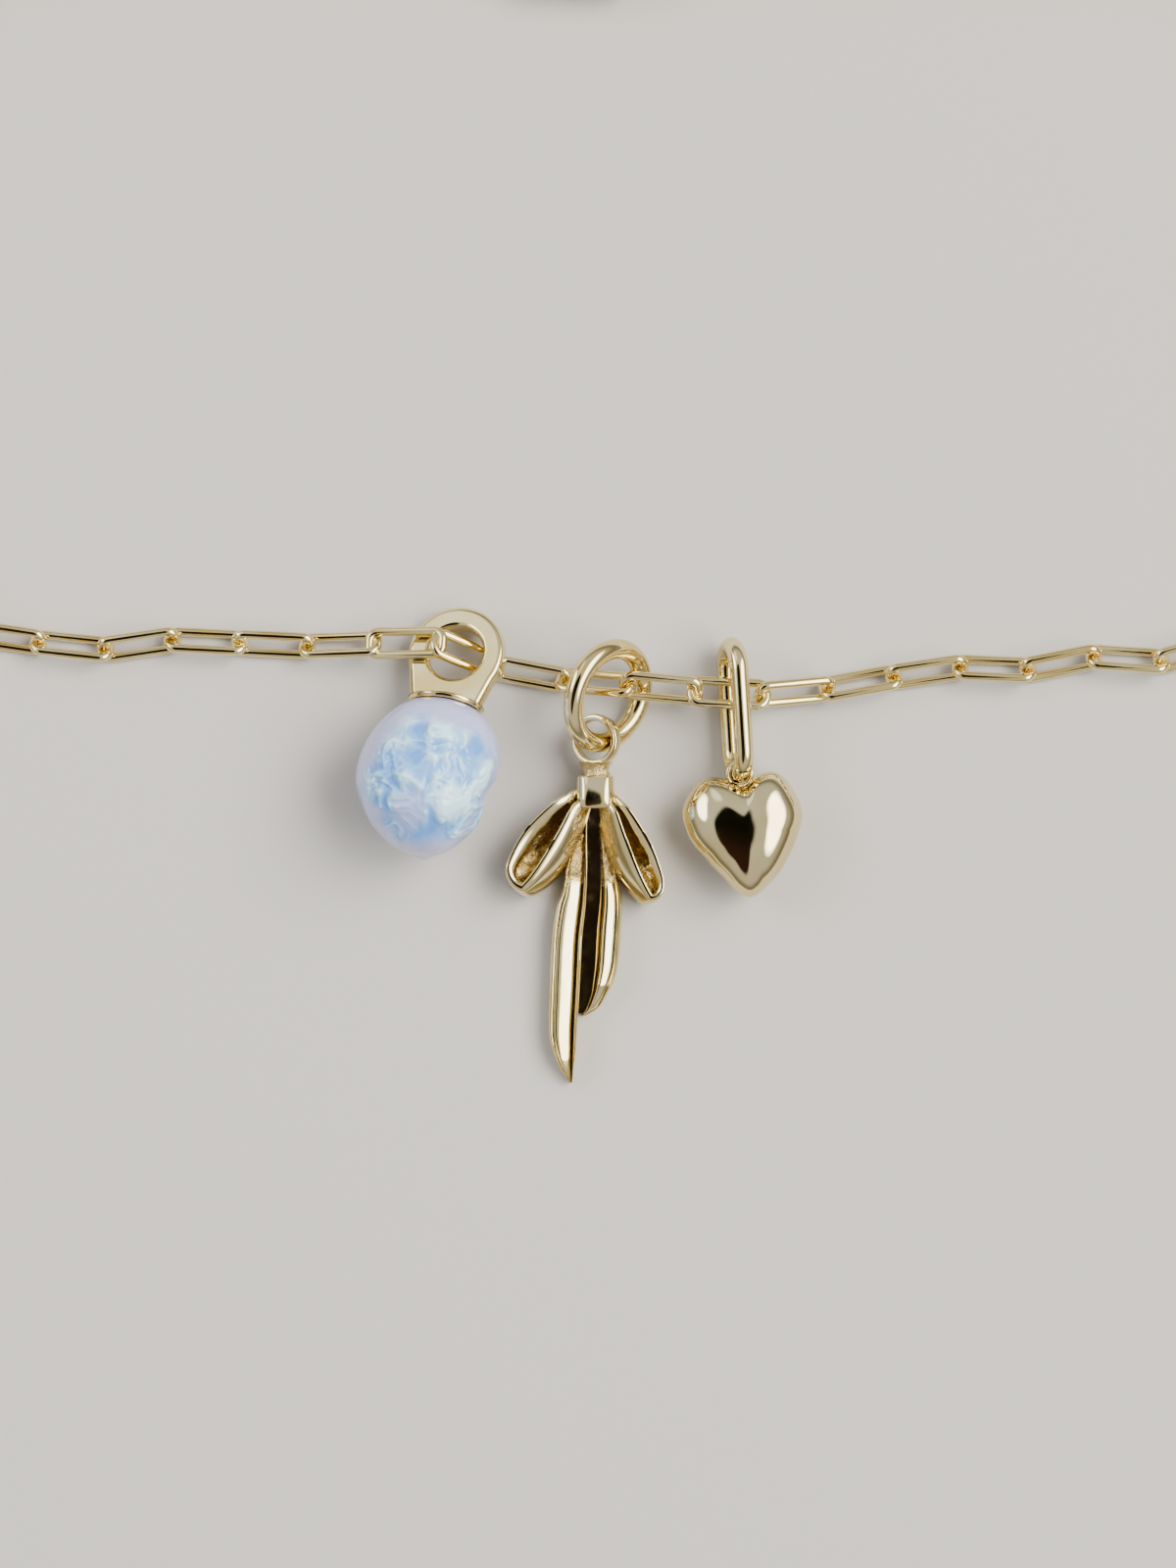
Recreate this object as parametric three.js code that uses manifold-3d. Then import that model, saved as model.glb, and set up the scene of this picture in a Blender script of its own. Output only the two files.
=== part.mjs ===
// Charm bracelet: a drawn cable chain closed by a plain clasp into one loop that lies flat, with three
// charms outside it: a baroque pearl on a flat ring bail, a ribbon bow on a round jump ring, and a puffed
// heart on a long oval bail. Millimetres, +Z up. It rests on z = 0. The front stretch of the chain runs
// along X, and the charms lie towards -Y.

import * as THREE from 'three';
import { mergeVertices } from 'three/addons/utils/BufferGeometryUtils.js';
import Module from 'manifold-3d';

const wasm = await Module();
wasm.setup();
const DEG = Math.PI / 180;

// Chain
const LINK_PITCH = 3.37;
const LINK_WIDTH = 1.65;
const CHAIN_WIRE = 0.42;
const LINK_CORNER = 0.45;
const LINK_BITE = 0.14;
const LINK_TILT = 45;
const LEFT_LINKS = 25;
const RIGHT_LINKS = 30;
const FRONT_CORNER = 4;
const BACK_CORNER = 5;

// Clasp
const CLASP_SPAN = 10;
const CLASP_LENGTH = 6;
const CLASP_WIDTH = 2.8;
const CLASP_HEIGHT = 2;
const CLASP_EDGE = 0.4;
const CLASP_WIRE = 0.4;
const END_TILT = 65;

// Pearl and its bail
const PEARL_RADIUS = 3.75;
const PEARL_HEIGHT = 6.7;
const PEARL_BAIL_DIAMETER = 4.9;
const PEARL_BAIL_HOLE = 3.2;
const PEARL_BAIL_THICKNESS = 0.95;
const PEARL_BAIL_PITCH = 17;
const PEARL_BAIL_ROLL = 16;
const PEARL_BAIL_TURN = 13;
const PEARL_BAIL_NECK = 2.75;
const PEARL_BAIL_INNER_BEVEL = 0.2;
const PEARL_BAIL_OUTER_BEVEL = 0.3;
const PEARL_FOOT_SHOULDER = 30;
const PEARL_CAP_DIAMETER = 3.5;
const PEARL_CAP_DEPTH = 0.45;

// Bow and its jump ring
const JUMP_RING_DIAMETER = 5.8;
const JUMP_RING_WIRE = 1;
const JUMP_RING_TILT = 48;
const JUMP_RING_TURN = 13;
const JUMP_RING_DIP = 10;
const BOW_EYELET_DIAMETER = 2.6;
const BOW_EYELET_HOLE = 2;
const BOW_EYELET_DEPTH = 0.6;
const BOW_EYELET_TILT = 28;
const BOW_EYELET_RISE = 0.35;
const BOW_SWAY = { x: -0.08, y: 0.1 };
const KNOT_WIDTH = 1.7;
const KNOT_LENGTH = 1.4;
const KNOT_DEPTH = 2.3;
const NECK_LENGTH = 0.7;
const LOOP_LENGTH = 5.7;
const LOOP_WIDTH = 1.65;
const RIBBON_WIDTH = 2.2;
const RIBBON_WALL = 0.28;
const RIBBON_LEAN = 1.35;
const LONG_TAIL = 14.5;
const SHORT_TAIL = 11.2;
const TAIL_WIDTH = 1.45;
const TAIL_THICKNESS = 1.1;
const TAIL_RISE = 0.5;
const TAIL_TIP_SHARE = 0.4;

// Heart and its bail
const HEART_WIDTH = 5.95;
const HEART_LENGTH = 6.2;
const HEART_THICKNESS = 3.35;
const HEART_TURN = 5;
const HEART_SHIFT = 0.25;
const HEART_SEAT = 0.6;
const HEART_STEM_WIDTH = 0.9;
const HEART_BAIL_LENGTH = 7.3;
const HEART_BAIL_WIDTH = 3.4;
const HEART_BAIL_WIRE = 0.95;
const HEART_BAIL_ROLL = 13;
const HEART_BAIL_TURN = 3.5;
const HEART_EYELET_WALL = 0.4;
const HEART_EYELET_DEPTH = 0.6;

// Softened rims of the bow's and the heart's eyelets
const EYELET_BEVEL = 0.1;

// Clearances
const RUN_GAP = 0.15;
const SEAT_GAP = 0.15;

// Keeps joined faces from lying in one plane
const FACE_STEP = 0.02;

// Where the rings that hold the charms lie, in the same plan as the chain's route. Each charm hangs from
// its ring: the pearl's by its middle, the bow's by its middle, the heart's by its far end.
const PEARL_RING_AT = { x: -6.5, y: -6.92 };
const JUMP_RING_AT = { x: 0.98, y: -8.95 };
const HEART_BAIL_END = { x: 7.08, y: -6.01 };

// The chain's front stretch from left to right, a point near each joint of two links
const FRONT_ROUTE = [
  { x: -29.27, y: -6.05, z: 0.65 },
  { x: -27.09, y: -6.29, z: 0.65 },
  { x: -23.8, y: -6.61, z: 0.65 },
  { x: -20.49, y: -6.1, z: 0.65 },
  { x: -17.22, y: -6.29, z: 0.65 },
  { x: -13.9, y: -6.44, z: 0.7 },
  { x: -10.85, y: -6.34, z: 1.15 },
  { x: -7.41, y: -6.3, z: 2 },
  { x: -4.24, y: -7.61, z: 0.7 },
  { x: -1.12, y: -8.15, z: 0.75 },
  { x: 2.34, y: -8.44, z: 1.95 },
  { x: 5.56, y: -8.73, z: 1.65 },
  { x: 9.12, y: -8.88, z: 1.5 },
  { x: 12.2, y: -8.54, z: 0.7 },
  { x: 15.46, y: -7.95, z: 0.65 },
  { x: 19.02, y: -7.46, z: 0.65 },
  { x: 22.34, y: -7.61, z: 0.65 },
  { x: 25.61, y: -6.93, z: 0.65 },
  { x: 29.27, y: -7.22, z: 0.65 },
];
const FIRST_JOINT = FRONT_ROUTE[7];

// How the links near the bails lie, counted to the right from the joint inside the pearl's bail
const SPECIAL_TILTS = new Map([[-1, -12], [0, -30], [1, 45], [3, 35], [4, -20]]);

// Outline of the pearl from above: degrees round from +X, and the reach as a share of its radius
const PEARL_OUTLINE = [
  { turn: 13, reach: 0.99 }, { turn: 26, reach: 1.03 }, { turn: 44, reach: 1.08 },
  { turn: 67, reach: 1.07 }, { turn: 90, reach: 1.04 }, { turn: 127, reach: 0.98 },
  { turn: 161, reach: 0.92 }, { turn: 184, reach: 0.96 }, { turn: 220, reach: 0.97 },
  { turn: 247, reach: 1.03 }, { turn: 266, reach: 1.07 }, { turn: 288, reach: 1.02 },
  { turn: 323, reach: 0.9 }, { turn: 339, reach: 0.81 },
];

// The bow's loops: side is -1 for the left one, heading is its lean from straight down
const BOW_LOOPS = [{ side: -1, heading: 36 }, { side: 1, heading: 25 }];

// Half of a ribbon loop's outline: along and shift are shares of the loop's length and width
const LOOP_OUTLINE = [
  { along: 0.02, half: 0.1, shift: 0 }, { along: 0.16, half: 0.36, shift: 0.2 },
  { along: 0.34, half: 0.68, shift: 0.28 }, { along: 0.55, half: 0.94, shift: 0.3 },
  { along: 0.75, half: 1, shift: 0.24 }, { along: 0.9, half: 0.76, shift: 0.14 },
  { along: 0.97, half: 0.42, shift: 0.06 },
];

// The tails: down is a share of the tail's length, across and wide are shares of the tail's width
const LONG_TAIL_ROWS = [
  { down: 0.02, across: -0.3, wide: 0.4 }, { down: 0.15, across: -0.5, wide: 0.62 },
  { down: 0.31, across: -0.69, wide: 0.82 }, { down: 0.45, across: -0.92, wide: 1 },
  { down: 0.58, across: -1.04, wide: 0.98 }, { down: 0.72, across: -1.11, wide: 0.98 },
  { down: 0.81, across: -1.12, wide: 0.95 }, { down: 0.88, across: -1.09, wide: 0.81 },
  { down: 0.95, across: -0.99, wide: 0.49 }, { down: 1, across: -0.84, wide: 0.08 },
];
const SHORT_TAIL_ROWS = [
  { down: 0.03, across: 0.25, wide: 0.4 }, { down: 0.2, across: 0.4, wide: 0.55 },
  { down: 0.36, across: 0.49, wide: 0.72 }, { down: 0.58, across: 0.45, wide: 0.88 },
  { down: 0.77, across: 0.32, wide: 0.84 }, { down: 0.89, across: 0.08, wide: 0.64 },
  { down: 1, across: -0.37, wide: 0.08 },
];

// Section of a tail: across is a share of half its width, up a share of its thickness
const TAIL_SECTION = [
  { across: -0.5, up: 0 }, { across: 0.5, up: 0 }, { across: 1, up: 0.3 }, { across: 0.92, up: 0.95 },
  { across: 0.72, up: 1 }, { across: 0.45, up: 0.72 }, { across: -0.3, up: 0.68 },
  { across: -0.68, up: 1 }, { across: -0.92, up: 0.95 }, { across: -1, up: 0.3 },
];

// Rounds of the meshes
const WIRE_SIDES = 5;
const CORNER_STEPS = 2;
const BAIL_SIDES = 10;
const ROUND_STEPS = 28;

const vector = (x, y, z) => new THREE.Vector3(x, y, z);

// A frame of three unit vectors at a place, so that flat designs can be laid out in space.
function frameAt(origin, along, up) {
  const x = along.clone().normalize();
  const z = up.clone().addScaledVector(x, -up.dot(x)).normalize();
  const y = z.clone().cross(x);
  return { origin, x, y, z };
}

function pointIn(frame, x, y, z = 0) {
  return frame.origin.clone()
    .addScaledVector(frame.x, x).addScaledVector(frame.y, y).addScaledVector(frame.z, z);
}

function matrixOf(frame) {
  return new THREE.Matrix4().makeBasis(frame.x, frame.y, frame.z).setPosition(frame.origin);
}

// A closed mesh as a solid for joining and cutting.
function solidOf(geometry) {
  geometry.deleteAttribute('normal');
  geometry.deleteAttribute('uv');
  const merged = mergeVertices(geometry, 1e-4);
  return new wasm.Manifold(new wasm.Mesh({
    numProp: 3,
    vertProperties: new Float32Array(merged.attributes.position.array),
    triVerts: new Uint32Array(merged.index.array),
  }));
}

function geometryOf(solid) {
  const mesh = solid.getMesh();
  const geometry = new THREE.BufferGeometry();
  geometry.setAttribute('position', new THREE.BufferAttribute(mesh.vertProperties, 3));
  geometry.setIndex(new THREE.BufferAttribute(mesh.triVerts, 1));
  geometry.computeVertexNormals();
  return geometry;
}

const unite = (solids) => solids.reduce((whole, next) => whole.add(next));

// A skin over a row of rings of points. A closed row joins its last ring to its first, and an open one
// ends in a fan at each tip.
function skin(rings, tips = null) {
  const around = rings[0].length;
  const points = rings.flat();
  const faces = [];
  const bands = tips ? rings.length - 1 : rings.length;
  for (let band = 0; band < bands; band++) {
    const here = band * around;
    const there = ((band + 1) % rings.length) * around;
    for (let i = 0; i < around; i++) {
      const j = (i + 1) % around;
      faces.push([here + i, here + j, there + j], [here + i, there + j, there + i]);
    }
  }
  if (tips) {
    const last = (rings.length - 1) * around;
    const first = points.push(tips[0]) - 1;
    const end = points.push(tips[1]) - 1;
    for (let i = 0; i < around; i++) {
      const j = (i + 1) % around;
      faces.push([first, j, i], [end, last + i, last + j]);
    }
  }
  const volume = faces.reduce((sum, [a, b, c]) =>
    sum + points[a].dot(points[b].clone().cross(points[c])), 0);
  const geometry = new THREE.BufferGeometry().setFromPoints(points);
  geometry.setIndex((volume > 0 ? faces : faces.map(([a, b, c]) => [a, c, b])).flat());
  return geometry;
}

// A round wire round a closed flat loop of [x, y] points laid in a frame.
function wireLoop(outline, frame, wire, sides) {
  const rings = outline.map(([x, y], i) => {
    const [beforeX, beforeY] = outline[(i + outline.length - 1) % outline.length];
    const [afterX, afterY] = outline[(i + 1) % outline.length];
    const out = new THREE.Vector2(afterY - beforeY, beforeX - afterX).normalize();
    return Array.from({ length: sides }, (_, k) => {
      const turn = (k / sides) * 2 * Math.PI;
      const away = (wire / 2) * Math.cos(turn);
      return pointIn(frame, x + out.x * away, y + out.y * away, (wire / 2) * Math.sin(turn));
    });
  });
  return skin(rings);
}

// The middle line of a link or bail: a rectangle with round corners, without doubled points.
function roundedLoop(halfLength, halfWidth, corner, steps) {
  const outline = [];
  const centres = [[1, 1], [-1, 1], [-1, -1], [1, -1]];
  centres.forEach(([right, up], quarter) => {
    for (let step = 0; step <= steps; step++) {
      const turn = (quarter + step / steps) * 90 * DEG;
      const x = right * (halfLength - corner) + corner * Math.cos(turn);
      const y = up * (halfWidth - corner) + corner * Math.sin(turn);
      const last = outline.at(-1);
      if (!last || Math.hypot(x - last[0], y - last[1]) > 1e-3) outline.push([x, y]);
    }
  });
  const [first, last] = [outline[0], outline.at(-1)];
  if (Math.hypot(first[0] - last[0], first[1] - last[1]) < 1e-3) outline.pop();
  return outline;
}

// A flat ring with square or bevelled rims, turned round its own axis.
function washer(diameter, hole, thickness, innerBevel, outerBevel, frame) {
  const [outside, inside, half] = [diameter / 2, hole / 2, thickness / 2];
  const profile = [
    [inside, innerBevel - half], [inside + innerBevel, -half], [outside - outerBevel, -half],
    [outside, outerBevel - half], [outside, half - outerBevel], [outside - outerBevel, half],
    [inside + innerBevel, half], [inside, half - innerBevel], [inside, innerBevel - half],
  ].map(([x, y]) => new THREE.Vector2(x, y));
  const ring = new THREE.LatheGeometry(profile, ROUND_STEPS);
  return ring.rotateX(Math.PI / 2).applyMatrix4(matrixOf(frame));
}

// The whole route of the chain from the middle of the back stretch, round by the left and the front,
// and back again. The back line stands where the links and the clasp close the loop.
function loopRoute() {
  const front = FRONT_ROUTE.map(({ x, y, z }) => vector(x, y, z));
  const [left, right] = [front[0], front.at(-1)];
  const low = left.z;
  const [leftX, rightX] = [left.x - FRONT_CORNER, right.x + FRONT_CORNER];
  const frontLength = new THREE.CatmullRomCurve3(front, false, 'centripetal').getLength();
  const bends = Math.PI * (FRONT_CORNER + BACK_CORNER);
  const backLength = rightX - leftX - 2 * BACK_CORNER;
  const total = (LEFT_LINKS + RIGHT_LINKS) * LINK_PITCH + CLASP_SPAN;
  const sides = total - frontLength - bends - backLength;
  const backY = (sides + left.y + right.y) / 2 + FRONT_CORNER + BACK_CORNER;
  const claspZ = endLinkHeight();
  const bend = (centreX, centreY, radius, from, to) => [0, 1, 2, 3, 4].map((step) => {
    const turn = (from + ((to - from) * step) / 4) * DEG;
    return vector(centreX + radius * Math.cos(turn), centreY + radius * Math.sin(turn), low);
  });
  const points = [
    vector(0, backY, claspZ),
    vector(-CLASP_SPAN / 2 - LINK_PITCH, backY, claspZ),
    vector(-CLASP_SPAN / 2 - 3 * LINK_PITCH, backY, low),
    ...bend(leftX + BACK_CORNER, backY - BACK_CORNER, BACK_CORNER, 90, 180),
    ...bend(leftX + FRONT_CORNER, left.y + FRONT_CORNER, FRONT_CORNER, 180, 270).slice(0, -1),
    ...front,
    ...bend(rightX - FRONT_CORNER, right.y + FRONT_CORNER, FRONT_CORNER, 270, 360).slice(1),
    ...bend(rightX - BACK_CORNER, backY - BACK_CORNER, BACK_CORNER, 0, 90),
    vector(CLASP_SPAN / 2 + 3 * LINK_PITCH, backY, low),
    vector(CLASP_SPAN / 2 + LINK_PITCH, backY, claspZ),
    vector(0, backY, claspZ),
  ];
  return new THREE.CatmullRomCurve3(points, false, 'centripetal').getSpacedPoints(6000);
}

// Height of a link's middle line when it rests on its lower rail at the clasp.
function endLinkHeight() {
  return ((LINK_WIDTH - CHAIN_WIRE) / 2) * Math.sin(END_TILT * DEG) + CHAIN_WIRE / 2;
}

// Joints a pitch apart, walked along the route from its point nearest the first joint.
function jointsAlong(route, count, forwards) {
  const start = vector(FIRST_JOINT.x, FIRST_JOINT.y, FIRST_JOINT.z);
  let place = route.reduce((best, point, i) =>
    point.distanceTo(start) < route[best].distanceTo(start) ? i : best, 0);
  const joints = [route[place]];
  while (joints.length <= count) {
    const joint = joints.at(-1);
    const step = forwards ? 1 : -1;
    while (route[place].distanceTo(joint) < LINK_PITCH) place += step;
    const [near, far] = [route[place - step], route[place]];
    const nearGap = near.distanceTo(joint);
    const share = (LINK_PITCH - nearGap) / (far.distanceTo(joint) - nearGap);
    joints.push(near.clone().lerp(far, share));
  }
  return joints;
}

// One link between two joints, its flat turned by the tilt round the chain's own line.
function link(from, to, tilt) {
  const along = to.clone().sub(from);
  const level = frameAt(from.clone().lerp(to, 0.5), along, vector(0, 0, 1));
  const up = level.z.clone().applyAxisAngle(level.x, tilt * DEG);
  const halfLength = (LINK_PITCH + CHAIN_WIRE - LINK_BITE) / 2;
  const halfWidth = (LINK_WIDTH - CHAIN_WIRE) / 2;
  const outline = roundedLoop(halfLength, halfWidth, LINK_CORNER, CORNER_STEPS);
  return solidOf(wireLoop(outline, frameAt(level.origin, along, up), CHAIN_WIRE, WIRE_SIDES));
}

function makeChain(leftJoints, rightJoints) {
  const joints = [...leftJoints.slice(1).reverse(), ...rightJoints];
  const links = joints.slice(1).map((joint, i) => {
    const number = i - LEFT_LINKS;
    const side = number % 2 === 0 ? -1 : 1;
    const atClasp = i === 0 || i === joints.length - 2;
    const tilt = atClasp ? side * END_TILT : SPECIAL_TILTS.get(number) ?? side * LINK_TILT;
    return link(joints[i], joint, tilt);
  });
  return unite(links);
}

// A plain oval block with a flat underside and a wire eye at each end, laid between the last two links.
function makeClasp(leftEnd, rightEnd) {
  const middle = leftEnd.clone().lerp(rightEnd, 0.5);
  const along = rightEnd.clone().sub(leftEnd);
  const [flatLength, flatWidth] = [CLASP_LENGTH - 2 * CLASP_EDGE, CLASP_WIDTH - 2 * CLASP_EDGE];
  const outline = roundedLoop(flatLength / 2, flatWidth / 2, flatWidth / 2, 5);
  const shape = new THREE.Shape(outline.map(([x, y]) => new THREE.Vector2(x, y)));
  const block = new THREE.ExtrudeGeometry(shape, {
    depth: CLASP_HEIGHT - 2 * CLASP_EDGE, steps: 1, bevelEnabled: true,
    bevelThickness: CLASP_EDGE, bevelSize: CLASP_EDGE, bevelSegments: 2,
  });
  block.translate(middle.x, middle.y, CLASP_EDGE);
  const linkReach = (CHAIN_WIRE - LINK_BITE) / 2;
  const barReach = (CHAIN_WIRE + CLASP_WIRE) / 2 + RUN_GAP / 2 - linkReach;
  const halfSpan = along.length() / 2 + barReach;
  const linkHalf = ((LINK_WIDTH - CHAIN_WIRE) / 2) * Math.cos(END_TILT * DEG) + CHAIN_WIRE / 2;
  const eyeHalf = linkHalf + RUN_GAP + CLASP_WIRE / 2;
  const eyeLength = halfSpan - CLASP_LENGTH / 2 + 2 * CLASP_WIRE;
  const eyes = [-1, 1].map((side) => {
    const centre = vector(middle.x + side * (halfSpan - eyeLength / 2), middle.y, middle.z);
    const loop = roundedLoop(eyeLength / 2, eyeHalf, Math.min(eyeHalf, eyeLength / 2), 3);
    return solidOf(wireLoop(loop, frameAt(centre, vector(1, 0, 0), vector(0, 0, 1)), CLASP_WIRE, 6));
  });
  return unite([solidOf(block), ...eyes]);
}

// A rounded body over a flat outline: every level is the outline drawn in, and eased towards a circle
// of the mean radius by the mellow share as it rises.
function puffed(outline, centre, halfHeight, fullness, mellow, levels) {
  const mean = outline.reduce((sum, point) => sum + point.length(), 0) / outline.length;
  const rings = [];
  for (let level = 1; level < levels; level++) {
    const rise = (level / levels) * Math.PI - Math.PI / 2;
    const drawn = Math.cos(rise) ** fullness;
    const height = halfHeight * Math.sin(rise);
    const ease = mellow * (1 - drawn);
    rings.push(outline.map((point) => {
      const reach = drawn * (1 - ease + (ease * mean) / point.length());
      return vector(centre.x + point.x * reach, centre.y + point.y * reach, centre.z + height);
    }));
  }
  const tips = [-1, 1].map((side) => vector(centre.x, centre.y, centre.z + side * halfHeight));
  return skin(rings, tips);
}

// From the pearl out to its ring.
function pearlBailWay() {
  const turn = PEARL_BAIL_TURN * DEG;
  const pitch = PEARL_BAIL_PITCH * DEG;
  return vector(Math.sin(turn) * Math.cos(pitch), Math.cos(turn) * Math.cos(pitch), -Math.sin(pitch));
}

const pearlReach = () => PEARL_RADIUS + PEARL_BAIL_NECK;

function pearlCentre() {
  return vector(PEARL_RING_AT.x, PEARL_RING_AT.y, 0)
    .addScaledVector(pearlBailWay(), -pearlReach()).setZ(PEARL_HEIGHT / 2);
}

function makePearl(grown = 0) {
  const corners = PEARL_OUTLINE.map(({ turn, reach }) => vector(
    PEARL_RADIUS * reach * Math.cos(turn * DEG), PEARL_RADIUS * reach * Math.sin(turn * DEG), 0));
  const outline = new THREE.CatmullRomCurve3(corners, true).getSpacedPoints(ROUND_STEPS).slice(0, -1);
  const scale = 1 + grown / PEARL_RADIUS;
  const body = puffed(outline.map((point) => point.multiplyScalar(scale)), pearlCentre(),
    (PEARL_HEIGHT / 2) * scale, 0.95, 0.5, 12);
  return solidOf(body);
}

// The flat of the pearl's bail: x runs across it, y from the pearl out to the ring, z is its face.
function pearlBailFrame() {
  const out = pearlBailWay();
  const level = out.clone().cross(vector(0, 0, 1));
  const across = level.normalize().applyAxisAngle(out, -PEARL_BAIL_ROLL * DEG);
  const ring = pearlCentre().addScaledVector(out, pearlReach());
  return frameAt(ring, across, across.clone().cross(out));
}

function makePearlBail() {
  const frame = pearlBailFrame();
  const ring = washer(PEARL_BAIL_DIAMETER, PEARL_BAIL_HOLE, PEARL_BAIL_THICKNESS,
    PEARL_BAIL_INNER_BEVEL, PEARL_BAIL_OUTER_BEVEL, frame);
  const middleRadius = (PEARL_BAIL_DIAMETER + PEARL_BAIL_HOLE) / 4;
  const seat = PEARL_BAIL_NECK;
  const shoulder = PEARL_FOOT_SHOULDER * DEG;
  const shoulderX = (PEARL_BAIL_DIAMETER / 2) * Math.cos(shoulder);
  const shoulderY = -(PEARL_BAIL_DIAMETER / 2) * Math.sin(shoulder);
  const foot = new THREE.Shape();
  foot.moveTo(shoulderX, shoulderY);
  foot.lineTo(PEARL_CAP_DIAMETER / 2, -seat - PEARL_CAP_DEPTH);
  foot.lineTo(-PEARL_CAP_DIAMETER / 2, -seat - PEARL_CAP_DEPTH);
  foot.lineTo(-shoulderX, shoulderY);
  foot.absarc(0, 0, middleRadius, Math.PI + shoulder, 2 * Math.PI - shoulder, false);
  const depth = PEARL_BAIL_THICKNESS - 2 * FACE_STEP;
  const block = new THREE.ExtrudeGeometry(foot, { depth, bevelEnabled: false, curveSegments: 10 });
  block.translate(0, 0, -depth / 2).applyMatrix4(matrixOf(frame));
  const capTop = -seat + PEARL_CAP_DEPTH;
  const capRim = PEARL_CAP_DIAMETER / 2;
  const cap = new THREE.LatheGeometry([
    new THREE.Vector2(0, -seat - 3 * PEARL_CAP_DEPTH), new THREE.Vector2(capRim, -seat - PEARL_CAP_DEPTH),
    new THREE.Vector2(capRim * 0.55, -seat), new THREE.Vector2(0, capTop),
  ], 20);
  cap.applyMatrix4(matrixOf(frame));
  return unite([solidOf(ring), solidOf(block), solidOf(cap)]).subtract(makePearl(SEAT_GAP));
}

const jumpRingRadius = () => (JUMP_RING_DIAMETER - JUMP_RING_WIRE) / 2;

// From the jump ring's lower limb up to its upper one.
function jumpRingWay() {
  const turn = JUMP_RING_TURN * DEG;
  const dip = JUMP_RING_DIP * DEG;
  return vector(Math.sin(turn) * Math.cos(dip), Math.cos(turn) * Math.cos(dip), Math.sin(dip));
}

// The jump ring leans over the chain: its lower right limb rests on the surface.
function makeJumpRing() {
  const radius = jumpRingRadius();
  const long = jumpRingWay();
  const level = long.clone().cross(vector(0, 0, 1)).normalize();
  const across = level.applyAxisAngle(long, JUMP_RING_TILT * DEG);
  const lowest = radius * Math.hypot(long.z, across.z) + JUMP_RING_WIRE / 2;
  const frame = frameAt(vector(JUMP_RING_AT.x, JUMP_RING_AT.y, lowest), across, across.clone().cross(long));
  const ring = new THREE.TorusGeometry(radius, JUMP_RING_WIRE / 2, BAIL_SIDES, ROUND_STEPS);
  return solidOf(ring.applyMatrix4(matrixOf(frame)));
}

// The bow's eyelet hangs round the jump ring's lower limb, a little off its middle.
function eyeletCentre() {
  const long = jumpRingWay();
  const radius = jumpRingRadius();
  return vector(JUMP_RING_AT.x - long.x * radius + BOW_SWAY.x, JUMP_RING_AT.y - long.y * radius + BOW_SWAY.y,
    KNOT_DEPTH / 2 + BOW_EYELET_RISE);
}

// The middle of the knot, straight below the eyelet.
function knotCentre() {
  const eyeletWall = (BOW_EYELET_DIAMETER - BOW_EYELET_HOLE) / 2;
  const drop = KNOT_LENGTH / 2 + NECK_LENGTH + (BOW_EYELET_DIAMETER - eyeletWall) / 2;
  return eyeletCentre().setZ(KNOT_DEPTH / 2).sub(vector(0, drop, 0));
}

// One ribbon loop of the bow: a leaning band round a teardrop, rooted inside the knot.
function ribbonLoop({ side, heading }) {
  const root = knotCentre().setZ(0).add(vector(side * KNOT_WIDTH * 0.3, 0, 0));
  const along = vector(side * Math.sin(heading * DEG), -Math.cos(heading * DEG), 0);
  const out = vector(side * Math.cos(heading * DEG), Math.sin(heading * DEG), 0);
  const walk = [
    ...LOOP_OUTLINE.map((row) => ({ ...row, edge: 1 })), { along: 1, half: 0, shift: 0.02, edge: 1 },
    ...LOOP_OUTLINE.map((row) => ({ ...row, edge: -1 })).reverse(),
  ];
  const rims = (row, wall, share) => {
    const half = Math.max((row.half * LOOP_WIDTH) / 2 - wall, 0.02);
    const lean = RIBBON_LEAN * Math.sin(Math.PI * Math.min(row.along * 0.75 + 0.1, 1)) * (share - 1);
    const across = row.shift * LOOP_WIDTH + row.edge * half + lean;
    const reach = row.along * LOOP_LENGTH - (row.half === 0 ? wall : 0);
    const bottom = (KNOT_DEPTH - RIBBON_WIDTH) / 2 + FACE_STEP;
    return root.clone().addScaledVector(along, reach).addScaledVector(out, across)
      .add(vector(0, 0, bottom + share * RIBBON_WIDTH));
  };
  return solidOf(skin(walk.map((row) => [
    rims(row, 0, 0), rims(row, -0.04, 0.5), rims(row, 0, 1),
    rims(row, RIBBON_WALL, 1), rims(row, RIBBON_WALL, 0.5), rims(row, RIBBON_WALL, 0),
  ])));
}

// A tail rises towards the knot and thins towards its tip.
function tail(rows, length) {
  const knot = knotCentre();
  const rings = rows.map(({ down, across, wide }) => {
    const thickness = TAIL_THICKNESS * (TAIL_TIP_SHARE + (1 - TAIL_TIP_SHARE) * Math.min(wide * 1.5, 1));
    return TAIL_SECTION.map((corner) => vector(
      knot.x + TAIL_WIDTH * (across + (corner.across * wide) / 2),
      knot.y - length * down,
      TAIL_RISE * (1 - down) ** 2 + corner.up * thickness));
  });
  const middle = (ring) => ring.reduce((sum, point) => sum.add(point), vector(0, 0, 0))
    .divideScalar(ring.length);
  return solidOf(skin(rings, [middle(rings[0]), middle(rings.at(-1))]));
}

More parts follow.
